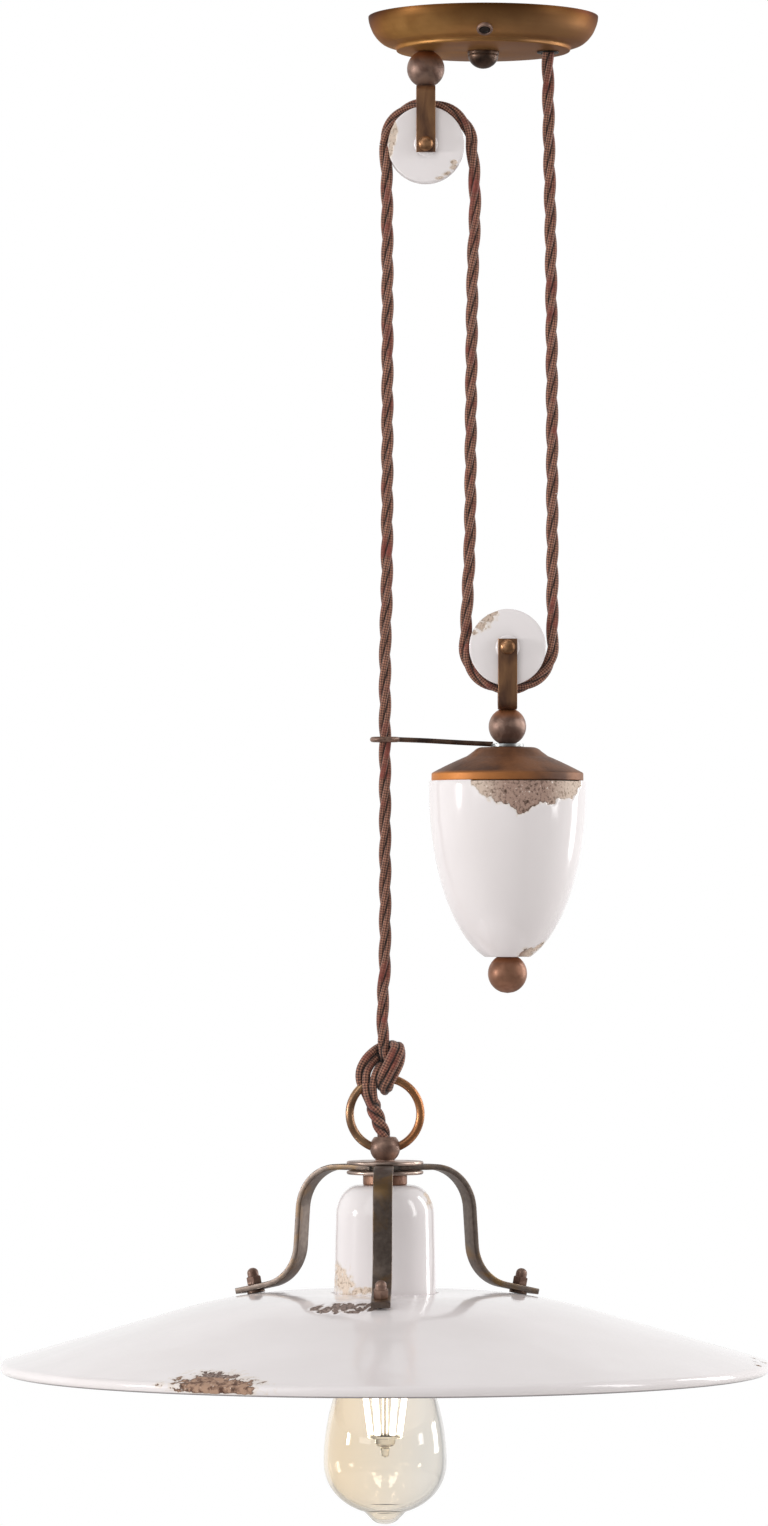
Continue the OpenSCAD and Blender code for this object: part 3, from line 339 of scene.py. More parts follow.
# The knot: the flex comes down behind the ring's wire, goes under it and up the front as a flat band,
# over the top to the back, and round the left in three loose strands that lead into the tail.
# Each row has the places (x, y, z) of the three strands in mm.
knot_rows = np.array([
    [(-52.6, 0.4, -540), (-50, 2, -540), (-51.2, -1.3, -540)],
    [(-51.6, 4.2, -548), (-49, 5.4, -548), (-48.8, 2.8, -548)],
    [(-52.4, 4.8, -555.2), (-50.4, 6.2, -556.4), (-48.7, 4.4, -555.8)],
    [(-53.2, 0.5, -558.2), (-51.2, 0.8, -560.3), (-49.2, 0.6, -558.5)],
    [(-54, -4.6, -555), (-52, -4.8, -557.7), (-49.8, -3.8, -558)],
    [(-51.4, -7, -548.6), (-48.2, -6.8, -549.8), (-46.1, -4.4, -551.2)],
    [(-48.3, -7, -542.3), (-45, -6.2, -543.2), (-43.4, -3.4, -545.4)],
    [(-46.1, -4.8, -537.4), (-43.1, -4.2, -538.8), (-42.7, -1.2, -540.8)],
    [(-47, -0.6, -535.9), (-44.2, -0.2, -536.6), (-43.4, 2.6, -539.4)],
    [(-49.6, 5.2, -536.3), (-48, 6.2, -539), (-47.2, 7.2, -542.2)],
    [(-53.4, 4.4, -537), (-51.9, 5.6, -540.4), (-50.4, 6.6, -543.8)],
    [(-57.8, 1.8, -539.8), (-55.4, 2.6, -542.9), (-53.2, 2.6, -546.2)],
    [(-61.6, 0, -543.8), (-58.6, 0, -546.4), (-55.1, -1.6, -549)],
    [(-64.2, -0.8, -549), (-60.7, -2.2, -550.8), (-56.6, -3.8, -552.8)],
    [(-64.4, -0.4, -554.4), (-61, -3.2, -556.2), (-57.6, -4.2, -558.4)],
    [(-62.4, 0.8, -559.6), (-60.2, -3.2, -562.2), (-57, -2.6, -564.4)],
]) * mm
tail_places = [
    (-58.6, 0, -564), (-57, 0, -569), (-54.9, 0, -575), (-52.4, 0, -581.6), (-51.25, 0, -586.4),
]
tail_line = through(tail_places, 3) * mm
tail_phase, tail_turns = 0.28, 1.0
part_way = distance_along(tail_line) / distance_along(tail_line)[-1]
tail_turned = 2 * np.pi * (tail_phase - tail_turns * part_way)
tail_cores = laid(tail_line, tail_turned, 1.25 - 0.25 * part_way)[:, [0, 2, 1]]
rows = np.concatenate([cores[-1:], knot_rows, tail_cores[2:]])
steps_between = 6
knot_cores = np.stack([through(rows[:, k], steps_between) for k in range(3)], 1)
tail_from = steps_between * (len(knot_rows) - 1)
share = np.arange(len(knot_cores)) / (len(knot_cores) - 1)
loose_r = 2.15 * mm
loosened = np.interp(share, [0, 0.12, 0.85, 0.97, 1], [strand_r, loose_r, loose_r, strand_r, strand_r])
for name, first, last in (("flex_knot", 0, tail_from + 1), ("flex_tail", tail_from, None)):
    so_far = length_so_far + distance_along(knot_cores[: first + 1, 1])[-1]
    flex[name] = sleeved(name, knot_cores[first:last], so_far, loosened[first:last])

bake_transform(flex["flex_right"])
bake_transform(flex["flex_middle"])
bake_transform(flex["flex_left"])
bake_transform(flex["flex_tail"])
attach(flex["flex_upper_turn"], "ceiling")
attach(flex["flex_lower_turn"], "counterweight")
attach(flex["flex_knot"], "hanger")


# ---- The studio ----
# A white backdrop and a pale floor below the lamp. A small far light grazes the pulleys from the left, and
# broad soft ones stand nearer, at both sides and above. The room in front is darker than the backdrop.

scene = bpy.context.scene
scene.view_settings.view_transform = "Standard"
world = bpy.data.worlds.new("studio")
scene.world = world
world.use_nodes = True
tree = world.node_tree
tree.nodes.clear()
rays = add(tree, "LightPath")
way = add(tree, "SeparateXYZ", add(tree, "TexCoord").outputs["Generated"])
# What the metal and the glaze mirror: dark in front (Y), above and below (Z), white behind.
behind = add(tree, "MapRange", way.outputs["Y"], -0.35, 0.45, 0.22, 1)
above = add(tree, "MapRange", way.outputs["Z"], 0.42, 0.62, 1, 0.55)
below = add(tree, "MapRange", way.outputs["Z"], -0.45, -0.1, 0.3, 1)
not_high = add(tree, "Math", behind, above, operation="MULTIPLY")
seen = add(tree, "Math", not_high, below, operation="MULTIPLY")
# What shows through the glass is white straight behind and darker to the sides.
slant = add(tree, "Math", way.outputs["X"], -0.4, way.outputs["Y"], operation="MULTIPLY_ADD")
ahead = add(tree, "MapRange", slant, 0.5, 0.95, 0.3, 1)
camera_ray = rays.outputs["Is Camera Ray"]
through_glass = add(tree, "Math", ahead, camera_ray, operation="MAXIMUM")
room, mirrored, backdrop = (
    add(tree, "Background", (1, 1, 1, 1), strength) for strength in (0.58, seen, through_glass)
)
glossy = add(tree, "MixShader", rays.outputs["Is Glossy Ray"], room, mirrored)
clear = add(tree, "Math", camera_ray, rays.outputs["Is Transmission Ray"], operation="MAXIMUM")
whole_room = add(tree, "MixShader", clear, glossy, backdrop)
add(tree, "OutputWorld", whole_room)

lamp_middle = np.array([-0.05, 0, -0.42])
for name, place, width, height, watts in (
    ("strip_left", (-3.4, -0.85, -0.2), 0.3, 0.5, 52),
    ("softbox_left", (-1.3, -1.5, 0.25), 0.9, 1.5, 7),
    ("softbox_right", (1.7, -0.5, 0.1), 0.35, 1.4, 10),
    ("rim_light", (1.6, 0.8, -0.1), 0.35, 1.4, 13),
    ("softbox_above", (-0.8, -1.2, 1.4), 1.4, 0.8, 5),
):
    light = bpy.data.lights.new(name, "AREA")
    light.shape = "RECTANGLE"
    light.size, light.size_y, light.energy = width, height, watts
    box = bpy.data.objects.new(name, light)
    box.location = place
    aim = lamp_middle - np.array(place)
    box.rotation_euler = (math.atan2(math.hypot(aim[0], aim[1]), -aim[2]), 0, math.atan2(-aim[0], aim[1]))
    scene.collection.objects.link(box)

floor_z, floor_r, floor_corners = -1.45, 2.2, 96
a = full_turn(floor_corners)
disc = np.stack([floor_r * np.cos(a), floor_r * np.sin(a), floor_z + 0 * a], -1)
matt_white, tree, surface = finish_named("matt_white_paper", Base_Color="#f1f0ee", Roughness=0.9)[:3]
from_below = add(tree, "NewGeometry").outputs["Backfacing"]
one_sided = add(tree, "MixShader", from_below, surface, add(tree, "BsdfTransparent"))
feed(tree.nodes["Material Output"], {0: one_sided})
floor_mesh = bpy.data.meshes.new("floor")
floor_mesh.from_pydata(disc.tolist(), [], [list(range(floor_corners))])
floor_mesh.materials.append(matt_white)
floor = bpy.data.objects.new("floor", floor_mesh)
scene.collection.objects.link(floor)
floor.visible_glossy = False


# ---- Ceiling rose ----
# A dish spun from brass sheet with a stepped flat bottom, browned to an antique finish and lacquered
# satin. It is open towards the ceiling, and two side screws pull it up over its bracket.


def clouded(name, tones, noise, spread=(0, 1), gloss=None, stretch=None, **sockets):
    """A finish in two tones, mixed by a noise whose coordinate is scaled by stretch. The second tone's
    share is (noise - low) / (high - low), from 0 to 1, with spread as low and high. gloss is the roughness
    where the noise is 0 and where it is 1. Returns what finish_named does, the noise and the colour."""
    material, tree, surface, place = finish_named(name, **sockets)
    where = add(tree, "Mapping", place, Scale=stretch) if stretch else place
    cloud = add(tree, "TexNoise", where, **noise)
    share = add(tree, "MapRange", cloud, spread[0], spread[1])
    colour = add(tree, "Mix", share, tones[0], tones[1])
    feed(surface, {"Base Color": colour})
    if gloss:
        feed(surface, {"Roughness": add(tree, "MapRange", cloud, 0, 1, gloss[0], gloss[1])})
    return material, tree, surface, place, cloud, colour


# Spun brass, browned and lacquered, with faint turning lines. Painted shade: it is darker and redder
# towards the right, away from the light, and darker near the ceiling.
spun_brass, tree, surface, place, _, brass = clouded(
    "antique_spun_brass", ("#a0703e", "#cf9a5c"), dict(Scale=28, Detail=4, Roughness=0.6),
    (0.35, 0.68), (0.34, 0.52), Metallic=0.72, Specular_Tint="#8a6a4c",
)
at = add(tree, "SeparateXYZ", place)
to_the_right = add(tree, "MapRange", at.outputs["X"], -40 * mm, 50 * mm)
# Painted shade: darker and redder towards the right.
painted_shade_right = add(tree, "Mix", to_the_right, brass, "#9a7250")
# Painted shade: darker near the ceiling.
painted_shade_top = add(tree, "MapRange", at.outputs["Z"], -9.5 * mm, -1 * mm)
browned = add(tree, "Mix", painted_shade_top, painted_shade_right, "#5c3a1c")
line_spacing = 2.07345 * mm
waves_per_unit = 20 / (2 * math.pi)
spin = add(
    tree, "TexWave", place, Scale=1 / line_spacing / waves_per_unit, Distortion=0.6,
    wave_type="RINGS", rings_direction="SPHERICAL",
)
lines = add(tree, "Bump", Height=spin, Strength=0.12, Distance=0.1 * mm)
feed(surface, {"Base Color": browned, "Normal": lines})


def turned(outline, centre, steps, axis="z"):
    """Points of an outline of (radius, height) in mm turned about an axis through centre:
    r cos a and r sin a across the axis, h along it. axis is z, or y for what lies along the axles."""
    r, h = (np.asarray(outline, float).T * mm)[:, :, None]
    a = full_turn(steps)
    across, up, along = r * np.cos(a), r * np.sin(a), h + 0 * a
    grid = np.stack([across, up, along] if axis == "z" else [across, along, up], -1)
    return grid + np.asarray(centre) * mm


def eased(corners, radius, steps=4):
    """An outline with its inner corners rounded: from a point `radius` before each corner, a parabola
    (1-t)^2 a + 2t(1-t) corner + t^2 b leads to the point `radius` after it."""
    p = np.asarray(corners, float)
    out = [p[0]]
    t = np.linspace(0, 1, steps + 1)[:, None]
    for before, corner, after in zip(p[:-2], p[1:-1], p[2:]):
        l1, l2 = np.linalg.norm(before - corner), np.linalg.norm(after - corner)
        a = corner + (before - corner) / l1 * min(radius, l1 / 2)
        b = corner + (after - corner) / l2 * min(radius, l2 / 2)
        out.extend((1 - t) ** 2 * a + 2 * t * (1 - t) * corner + t**2 * b)
    return np.array([*out, p[-1]])


def domed(r, foot, height, start, steps):
    """The outline of a dome from angle start to its pole: (r cos a, foot + height sin a)."""
    out = [(r * math.cos(a), foot + height * math.sin(a)) for a in np.linspace(start, math.pi / 2, steps)]
    return [*out[:-1], (0, out[-1][1])]


def fitted(piece, body, slot, *nodes):
    """The piece rides on a body and stands for CAD nodes, which are hidden. slot is not used."""
    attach(piece, body)
    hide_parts(*nodes)
    return piece


side = [(60, -0.6), (59.7, -2.6), (58.9, -5.2), (57.2, -8.8), (54.6, -12), (51.6, -14.2), (47.6, -15.35)]
foot = [side[-1], (46.3, -15.6), (45.6, -16.2), (45.3, -18), (4.2, -18), (4.2, -16.8), (44.2, -16.8)]
dish = through(side, 6)
inner = np.minimum(dish[::-1] + [-1.1, 1.1], [60, -0.05])
outline = np.vstack([[(59.4, 0), (60, 0)], dish[:-1], eased(foot, 0.7), inner])
rose = skin("rose_dish", turned(outline, (0, 0, 0), 128), spun_brass, loop=True)
fitted(rose, "ceiling", "antique_brass", "rose_cover")

# Browned steel of the screw collars, the joint balls and the nuts, blotched with rust where it is marked.
browned_steel, tree, surface, place, blotch, brown = clouded(
    "browned_rusty_steel", ("#705549", "#9d8274"), dict(Scale=95, Detail=4, Distortion=0.9),
    (0.4, 0.66), Metallic=0.6,
)
grain = add(tree, "TexNoise", place, Scale=700, Detail=3)
rusty = add(tree, "Attribute", attribute_name="rust")
crept = add(tree, "Math", blotch, 0.8, -0.4, operation="MULTIPLY_ADD")
edge = add(tree, "Math", rusty, crept, operation="ADD", use_clamp=True)
orange = add(tree, "Mix", edge, brown, "#98603c")
dull = add(tree, "MapRange", grain, 0, 1, 0.34, 0.56)
pits = add(tree, "Bump", Height=grain, Strength=0.2, Distance=0.15 * mm)
feed(surface, {"Base Color": orange, "Roughness": dull, "Normal": pits})

# Oxidised steel of the domed nut, the guide's rod and the spacers, and blackened steel of the screws.
dark_wire = clouded(
    "oxidised_wire", ("#43342d", "#735b4c"), dict(Scale=160, Detail=4), (0.35, 0.7),
    Metallic=0.8, Roughness=0.42,
)[0]
blackened = clouded(
    "blackened_screw", ("#140c08", "#33241c"), dict(Scale=500, Detail=3), Metallic=0.4, Roughness=0.5
)[0]


def level_way(degrees):
    """The level direction (cos a, sin a, 0) at an angle from the x axis."""
    return np.array([math.cos(math.radians(degrees)), math.sin(math.radians(degrees)), 0])


def standing(name, outline, material, steps, spot, slope, angles, loop=False):
    """The same turned piece at each angle round a vertical axis. Its foot is at spot, the axis's x, the
    radius and the height in mm. Its own axis leans outwards by slope: a point at height w is moved by
    w sin(slope) outwards and by w cos(slope) up."""
    x, r, z = np.array(spot) * mm
    u, v, w = np.moveaxis(turned(outline, (0, 0, 0), steps), -1, 0)
    out = r + u * math.cos(slope) + w * math.sin(slope)
    up = z - u * math.sin(slope) + w * math.cos(slope)
    pieces = []
    for degrees in angles:
        c, s = level_way(degrees)[:2]
        grid = np.stack([x + out * c - v * s, out * s + v * c, up], -1)
        pieces.append(skin(f"{name}_{degrees:.0f}", grid, material, loop=loop))
    return joined(name, pieces)


rim = eased([(2.9, 13.4), (2.9, 16.5), (3.4, 16.8), (4, 16.6), (4.25, 15.9), (4.25, 13.4)], 0.3)
head = eased([(0, 16.2), (1.6, 16.2), (1.7, 16.5), (2.5, 16.5), (2.9, 16.2), (2.9, 14), (0, 14)], 0.2)
screw_spot = ((0, 44.6, 0), math.radians(90 + 55), (-90, 90))
collars = [
    standing("screw_collars", rim, browned_steel, 40, *screw_spot, loop=True),
    standing("screw_heads", head, blackened, 40, *screw_spot),
]
fitted(joined("rose_screws", collars), "ceiling", "dark_steel", "rose_side_screws")

cap_nut = eased([(0, -18), (8.2, -18), (8.2, -19.4), (7.9, -19.8)], 0.3)
bulge = domed(8, -19.6, -7.4, 0.05, 12)
nut = skin("rose_cap_nut", turned([*cap_nut, *bulge], (0, 0, 0), 64), dark_wire)
fitted(nut, "ceiling", "rusty_iron", "rose_dome_nut")
bush = eased([(3.6, -13), (3.6, -18.9), (5.6, -19), (5.8, -18.1), (4.5, -18), (4.5, -13)], 0.3)
inlet = skin("flex_inlet", turned(bush, (33.75, 0, 0), 48), blackened, loop=True)
fitted(inlet, "ceiling", "dark_steel", "flex_bush")


# ---- Fixings inside the rose ----
# Zinc-plated bracket, plate, stud and nuts, a brass clamp ring on the flex and a nylon terminal block.
# They show from above, where the rose is open.

# Zinc plate with its bloom, bright drawn brass, and nylon with the flow of its moulding.
zinc_steel = clouded(
    "zinc_plated_steel", ("#8d9193", "#c2c4c2"), dict(Scale=120, Detail=4), gloss=(0.25, 0.5), Metallic=0.95
)[0]
bright_brass = clouded(
    "drawn_brass", ("#a98548", "#d2b06a"), dict(Scale=260, Detail=3), Metallic=1, Roughness=0.28
)[0]
nylon = clouded(
    "moulded_nylon", ("#d9d5c8", "#eeebe0"), dict(Scale=90, Detail=3), Roughness=0.5, IOR=1.53
)[0]


def coated(material, *nodes):
    """Gives CAD nodes that keep their shape a finish."""
    for node in nodes:
        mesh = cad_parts[node].data
        mesh.materials.clear()
        mesh.materials.append(material)


coated(zinc_steel, "ceiling_bracket", "carrier_plate", "rose_stud")
coated(zinc_steel, "upper_bolt", "upper_bolt_nut", "grip_screw")
coated(bright_brass, "flex_grip")
coated(nylon, "terminal_block")


# ---- Fixed pulley ----
# A glazed ceramic wheel turns on a steel pin in a flat strip bent to a U. The strip hangs from a
# turned steel ball, which a bolt holds against the rose.


def lumps(points, size, seed):
    """Value noise from 0 to 1: random numbers at the corners of cubes of this size, eased in between."""
    cells = 32
    lattice = np.random.default_rng(seed).random((cells, cells, cells))
    p = np.asarray(points) / size
    low = np.floor(p).astype(int)
    f = p - low
    f = f * f * (3 - 2 * f)
    total = 0
    for corner in np.ndindex(2, 2, 2):
        weight = np.prod([f[..., k] if corner[k] else 1 - f[..., k] for k in range(3)], axis=0)
        total = total + weight * lattice[tuple((low[..., k] + corner[k]) % cells for k in range(3))]
    return total


# White glaze over a buff body. The glaze is glassy, thick and faintly uneven. Where it has been chipped
# away on purpose, marked by the attribute chip, a pitted brown engobe shows with crumbs of glaze.
white_glaze, tree, surface, place = finish_named("white_glaze", IOR=1.52)
chip, kind, lip_shade_band = (
    add(tree, "Attribute", attribute_name=mark) for mark in ("chip", "crust", "unglazed")
)
crumbs = add(tree, "TexNoise", place, Scale=700, Detail=3, Roughness=0.6)
lace = add(tree, "TexNoise", place, Scale=300, Detail=3, Roughness=0.6)
pool = add(tree, "TexNoise", place, Scale=22, Detail=2)
ripple = add(tree, "TexNoise", place, Scale=45, Detail=1)
frayed = add(tree, "Math", lace, 1.1, -0.55, operation="MULTIPLY_ADD")
edge = add(tree, "Math", frayed, chip, operation="ADD")
bare_clay = add(tree, "MapRange", edge, 0.47, 0.52)
brink = add(tree, "MapRange", edge, 0.25, 0.47, 0, 0.45)
shadow = add(tree, "MapRange", edge, 0.52, 0.68, 0.75, 0)
speckle = add(tree, "MapRange", crumbs, 0.33, 0.5)
strewn = add(tree, "MapRange", lace, 0.38, 0.56)
fleck = add(tree, "MapRange", crumbs, 0.66, 0.7)
# The attribute crust chooses the engobe: soot at -1, rust at 0, sand at 1 and cream at 2.
sandy = add(tree, "Math", kind, 0, operation="ADD", use_clamp=True)
creamy = add(tree, "Math", kind, -1, operation="ADD", use_clamp=True)
sooty = add(tree, "Math", kind, -1, operation="MULTIPLY", use_clamp=True)
glaze, rust, sand, cream, soot = (
    add(tree, "Mix", factor, dark, light)
    for factor, dark, light in (
        (pool, "#ded7d6", "#eae4e4"),
        (strewn, "#5a3c2e", "#ab8a74"),
        (speckle, "#503a2f", "#a18577"),
        (speckle, "#b29c88", "#e6d5c4"),
        (speckle, "#32251f", "#8f7b72"),
    )
)
body = rust
for where, over in ((sandy, sand), (sooty, soot), (shadow, "#4a352b"), (creamy, cream), (fleck, "#e9e0d6")):
    body = add(tree, "Mix", where, body, over)
colour = glaze
# Painted shade: the lip's underside is painted grey.
for where, over in ((lip_shade_band, "#8f898a"), (brink, "#d8c6b0"), (bare_clay, body)):
    colour = add(tree, "Mix", where, colour, over)
gloss = add(tree, "MapRange", bare_clay, 0, 1, 0.12, 0.85)
relief = add(tree, "Math", crumbs, bare_clay, operation="MULTIPLY")
sunk = add(tree, "Math", bare_clay, -1.2, relief, operation="MULTIPLY_ADD")
chipped = add(tree, "Bump", Height=sunk, Strength=0.5, Distance=0.4 * mm)
wavy = add(tree, "Bump", Height=ripple, Strength=0.3, Distance=1 * mm, Normal=chipped)
feed(surface, {"Base Color": colour, "Roughness": gloss, "Normal": wavy})


def chip_field(across, up, spots, points, seed):
    """How far inside a chip each point is. A spot is (across, up, half width, half height) in mm:
    1 at its middle, 0.5 at its edge, with lumps of 5 mm and 2 mm to make the edge ragged."""
    field = np.zeros(across.shape)
    for x, y, half_w, half_h in spots:
        field = np.maximum(field, 1 - 0.5 * np.hypot((across - x) / half_w, (up - y) / half_h))
    ragged = 0.45 * (lumps(points, 5 * mm, seed) - 0.5) + 0.3 * (lumps(points, 2 * mm, seed + 1) - 0.5)
    return np.clip(field + np.where(field > 0.2, ragged, 0), 0, 1)


def glazed(name, grid, field, depth, crust, **marks):
    """A glazed piece, sunk square to its surface by depth times (field - 0.42) / 0.16, from 0 to 1."""
    along, down = np.gradient(grid, axis=1), np.gradient(grid, axis=0)
    n = np.cross(along, down)
    n /= np.maximum(np.linalg.norm(n, axis=2), 1e-12)[..., None]
    outward = grid - grid.mean(axis=(0, 1))
    n *= np.sign(np.einsum("ijk,ijk->ij", n, outward).sum() or 1)
    sunk = grid - n * (depth * np.clip((field - 0.42) / 0.16, 0, 1))[..., None]
    marks = {"chip": field, "crust": crust + 0 * field, **marks}
    return skin(name, sunk, white_glaze, loop=True, marks=marks)


def sheave(name, centre, spots, seed, crust):
    """A grooved wheel: its outline turned about the axle, with spots of chip on its front face."""
    groove_r, mid_r = 3.55, flex_on_wheel_r
    a = np.linspace(-1.1, 1.1, 13)
    groove = [*zip(mid_r - groove_r * np.cos(a), groove_r * np.sin(a))]
    front = [(r, -6.0 - 0.25 * math.sin(math.pi * (r - 6) / 13)) for r in np.linspace(6.2, 18.9, 28)]
    rim = eased([(18.9, -6), (19.9, -5.8), (20, -4.6), (20, -3.3), groove[0]], 0.7)
    back = [(r, -h) for r, h in rim[::-1]]
    hub = [(2.6, -6.6), (5.6, -6.7), (6, -6.4)]
    outline = [*hub, *front, *rim, *groove[1:-1], *back, (6, 6.3), (5.6, 6.7), (2.6, 6.6)]
    grid = turned(outline, centre, 160, "y")
    local = (grid - np.asarray(centre) * mm) / mm
    field = chip_field(local[..., 0], local[..., 2], spots, grid, seed) * (local[..., 1] < -3)
    return glazed(name, grid, field, 0.35 * mm, crust)


upper_spots = [
    (-18.6, 5, 2.6, 6), (-18.5, -3.5, 1.6, 3.5), (14.5, -9.5, 1.6, 0.9),
    (15, -12.5, 2.4, 1.3), (11.5, -15.5, 2.4, 1.3), (8, -18, 2.4, 0.9),
]
lower_spots = [(-15, 11.5, 4.5, 2.6), (-11.5, 15, 4.2, 2.4), (-7.5, 18, 3, 1.6), (-17.5, 8.5, 2, 2)]


def ball(name, centre, r, top, bottom, rusty=0):
    """A turned ball of radius r in mm, cut flat at top and bottom, heights from its centre. Its rust is
    1 near the top and `rusty` elsewhere."""
    h = np.concatenate([[top], np.linspace(top, bottom, 40), [bottom]])
    radius = np.sqrt(r * r - h * h)
    radius[[0, -1]] = 0
    grid = turned(np.stack([radius, h], -1), centre, 72)
    rust = np.clip((h / r - 0.35) / 0.35, rusty, 1)[:, None] * np.ones(72)
    return skin(name, grid, browned_steel, marks={"rust": rust})


# Strip steel, browned and waxed: darker and lighter in streaks along the strip.
waxed_strip = clouded(
    "waxed_brown_strip", ("#5e4235", "#9b7250"), dict(Scale=110, Detail=4, Distortion=0.6),
    (0.36, 0.66), (0.34, 0.52), stretch=(1, 1, 0.35), Metallic=0.7,
)[0]


def strip(name, line, level, width, thick, material):
    """A flat bar: a rectangle with eased edges carried along a line [n, 3], wide in the level direction
    and thick across the line. Points are line + s level + t normal round the rectangle."""
    level = np.asarray(level, float)
    t = np.gradient(line, axis=0)
    t /= np.linalg.norm(t, axis=1)[:, None]
    normal = np.cross(t, level)
    w, h = width / 2 * mm, thick / 2 * mm
    ring = eased([(0, h), (w, h), (w, -h), (-w, -h), (-w, h), (0, h)], 0.45 * mm, 3)[:-1]
    grid = line[:, None] + ring[None, :, :1] * level + ring[None, :, 1:] * normal[:, None]
    return skin(name, grid, material)


def fork(name, axle, end, web):
    """A strip bent to a U across the wheel: along one side, over the web and back along the other."""
    x, axle_z, side = axle[0], axle[2], 8.0
    yz = eased([(-side, axle_z + end), (-side, web), (side, web), (side, axle_z + end)], 3.2, 10)
    far = distance_along(yz)
    steps = np.linspace(0, far[-1], 90)
    yz = np.stack([np.interp(steps, far, yz[:, k]) for k in range(2)], -1)
    line = np.stack([np.full(len(yz), x), yz[:, 0], yz[:, 1]], -1) * mm
    return strip(name, line, (1, 0, 0), 10, 2, waxed_strip)


# Tarnished copper-coloured brass of the pins' heads.
tarnished = clouded(
    "tarnished_brass", ("#8d6648", "#c7966e"), dict(Scale=300, Detail=4), (0.36, 0.62), (0.45, 0.3),
    Metallic=0.85,
)[0]


def pin(name, centre):
    """An axle with a low domed head at each end."""
    half = [(2.45, 0), (2.45, 9), (3.8, 9.05), *domed(3.95, 9.1, 2.2, 0, 9)]
    outline = [(r, -h) for r, h in half[::-1]] + half[1:]
    return skin(name, turned(outline, centre, 40, "y"), tarnished)


def pulley(which, body, axle, spots, seed, crust, fork_ends):
    """A wheel with its fork and pin: the wheel turns, the others ride on the body that carries them."""
    wheel = sheave(which + "_wheel", axle, spots, seed, crust)
    fitted(wheel, which + "_pulley", "white_ceramic", which + "_sheave")
    fitted(fork(which + "_yoke", axle, *fork_ends), body, "burnished_strip", which + "_fork")
    fitted(pin(which + "_pin", axle), body, "rusty_iron", which + "_axle")


pulley("upper", "ceiling", upper_axle, upper_spots, 3, 1.7, (-4.4, -37.2))
joint = ball("upper_joint_ball", (upper_axle[0], 0, -27.1), 9.8, 9.1, -9.1)
fitted(joint, "ceiling", "rusty_iron", "upper_ball")


# ---- Counterweight ----
# A thick ceramic urn filled with iron, under a spun and rusted cap. One bolt holds pulley, ball,
# washer, guide arm, cap and urn together, and ends in the ball underneath.

weight_x = lower_axle[0]
pulley("lower", "counterweight", lower_axle, lower_spots, 8, 1.5, (4.4, -360.5))
joint = ball("lower_joint_ball", (weight_x, 0, -370.45), 9.8, 8.95, -8.95)
fitted(joint, "counterweight", "rusty_iron", "lower_ball")
finial = ball("end_ball", (weight_x, 0, -499.05), 10.2, 8.65, -10.199, 0.5)
fitted(finial, "counterweight", "rusty_iron", "weight_finial")


def wire(name, line, d, material, closed=False, sides=16):
    """A round wire: a circle of diameter d in mm carried along a line of points in metres. On a closed
    line, which is flat, its frame is the line's plane and the direction square to it."""
    if closed:
        t = np.roll(line, -1, axis=0) - np.roll(line, 1, axis=0)
        flat = np.cross(line[1] - line[0], line[2] - line[1])
        b = np.broadcast_to(flat / np.linalg.norm(flat), line.shape)
        n = np.cross(b, t)
        n /= np.linalg.norm(n, axis=1)[:, None]
    else:
        n, b = carried_frames(line)
    grid = line[:, None] + d / 2 * mm * spokes(full_turn(sides), n, b)
    return skin(name, grid, material, loop=closed)


# The guide: a washer and a drawn wire whose eye goes round the lamp's flex.
lamp_x, eye_z = -51.25, -377.2
guide_eye = turned([(6.5, 0)], (lamp_x, 0, eye_z), 72)[0]
rod_places = [(5, 0, -379.6), (2, 0, -379.5), (-12, 0, -378.8), (-30, 0, -377.8), (-44.9, 0, eye_z)]
washer = eased([(3.2, -379.45), (8.5, -379.4), (8.5, -381.15), (3.2, -381.15)], 0.3)
guide = joined("guide_wire", [
    wire("guide_rod", through(rod_places, 8) * mm, 2.6, dark_wire),
    wire("guide_eye", guide_eye, 2.8, browned_steel, closed=True),
    skin("guide_washer", turned(washer, (weight_x, 0, 0), 64), zinc_steel, loop=True),
])
fitted(guide, "counterweight", "dark_steel", "guide_arm")

# The cap: mild steel spun to an ogee and left to rust under wax. A painted highlight makes its rim orange
# at the left, where the light falls.
rusted_cap, tree, surface, place, _, rust = clouded(
    "waxed_rust", ("#553420", "#835432"), dict(Scale=45, Detail=5, Roughness=0.6), (0.36, 0.64),
    Metallic=0.35,
)
fine = add(tree, "TexNoise", place, Scale=600, Detail=3)
at = add(tree, "SeparateXYZ", place)
low = add(tree, "MapRange", at.outputs["Z"], -393.5 * mm, -395.5 * mm)
to_the_left = add(tree, "MapRange", at.outputs["X"], 30 * mm, -20 * mm)
# Painted highlight: the rim's lower band turns orange towards the left.
painted_highlight_rim = add(tree, "Math", low, to_the_left, operation="MULTIPLY")
rim = add(tree, "Mix", painted_highlight_rim, rust, "#c87c34")
dull = add(tree, "MapRange", fine, 0, 1, 0.4, 0.62)
skin_of_rust = add(tree, "Bump", Height=fine, Strength=0.2, Distance=0.15 * mm)
feed(surface, {"Base Color": rim, "Roughness": dull, "Normal": skin_of_rust})

neck = [(13 + 6.2 * math.sin(a), -6.2 + 6.2 * math.cos(a)) for a in np.radians(np.linspace(0, 48, 8))]
flank = [(18.6 + 21 * t, -3.6 - 9.9 * (0.86 * t + 0.14 * t * t)) for t in np.linspace(0.12, 0.97, 12)]
edge_line = eased([flank[-1], (39.55, -13.6), (39.6, -17.5), (38.2, -17.5), (38.2, -14.6), (24, -8)], 0.5)
outline = np.vstack([[(3.3, 0)], neck, flank[:-1], edge_line, [(12, -3), (3.3, -1.6)]])
cap = skin("urn_cap", turned(outline, (weight_x, 0, -381.2), 128), rusted_cap, loop=True)
fitted(cap, "counterweight", "rusty_cap", "weight_cap")

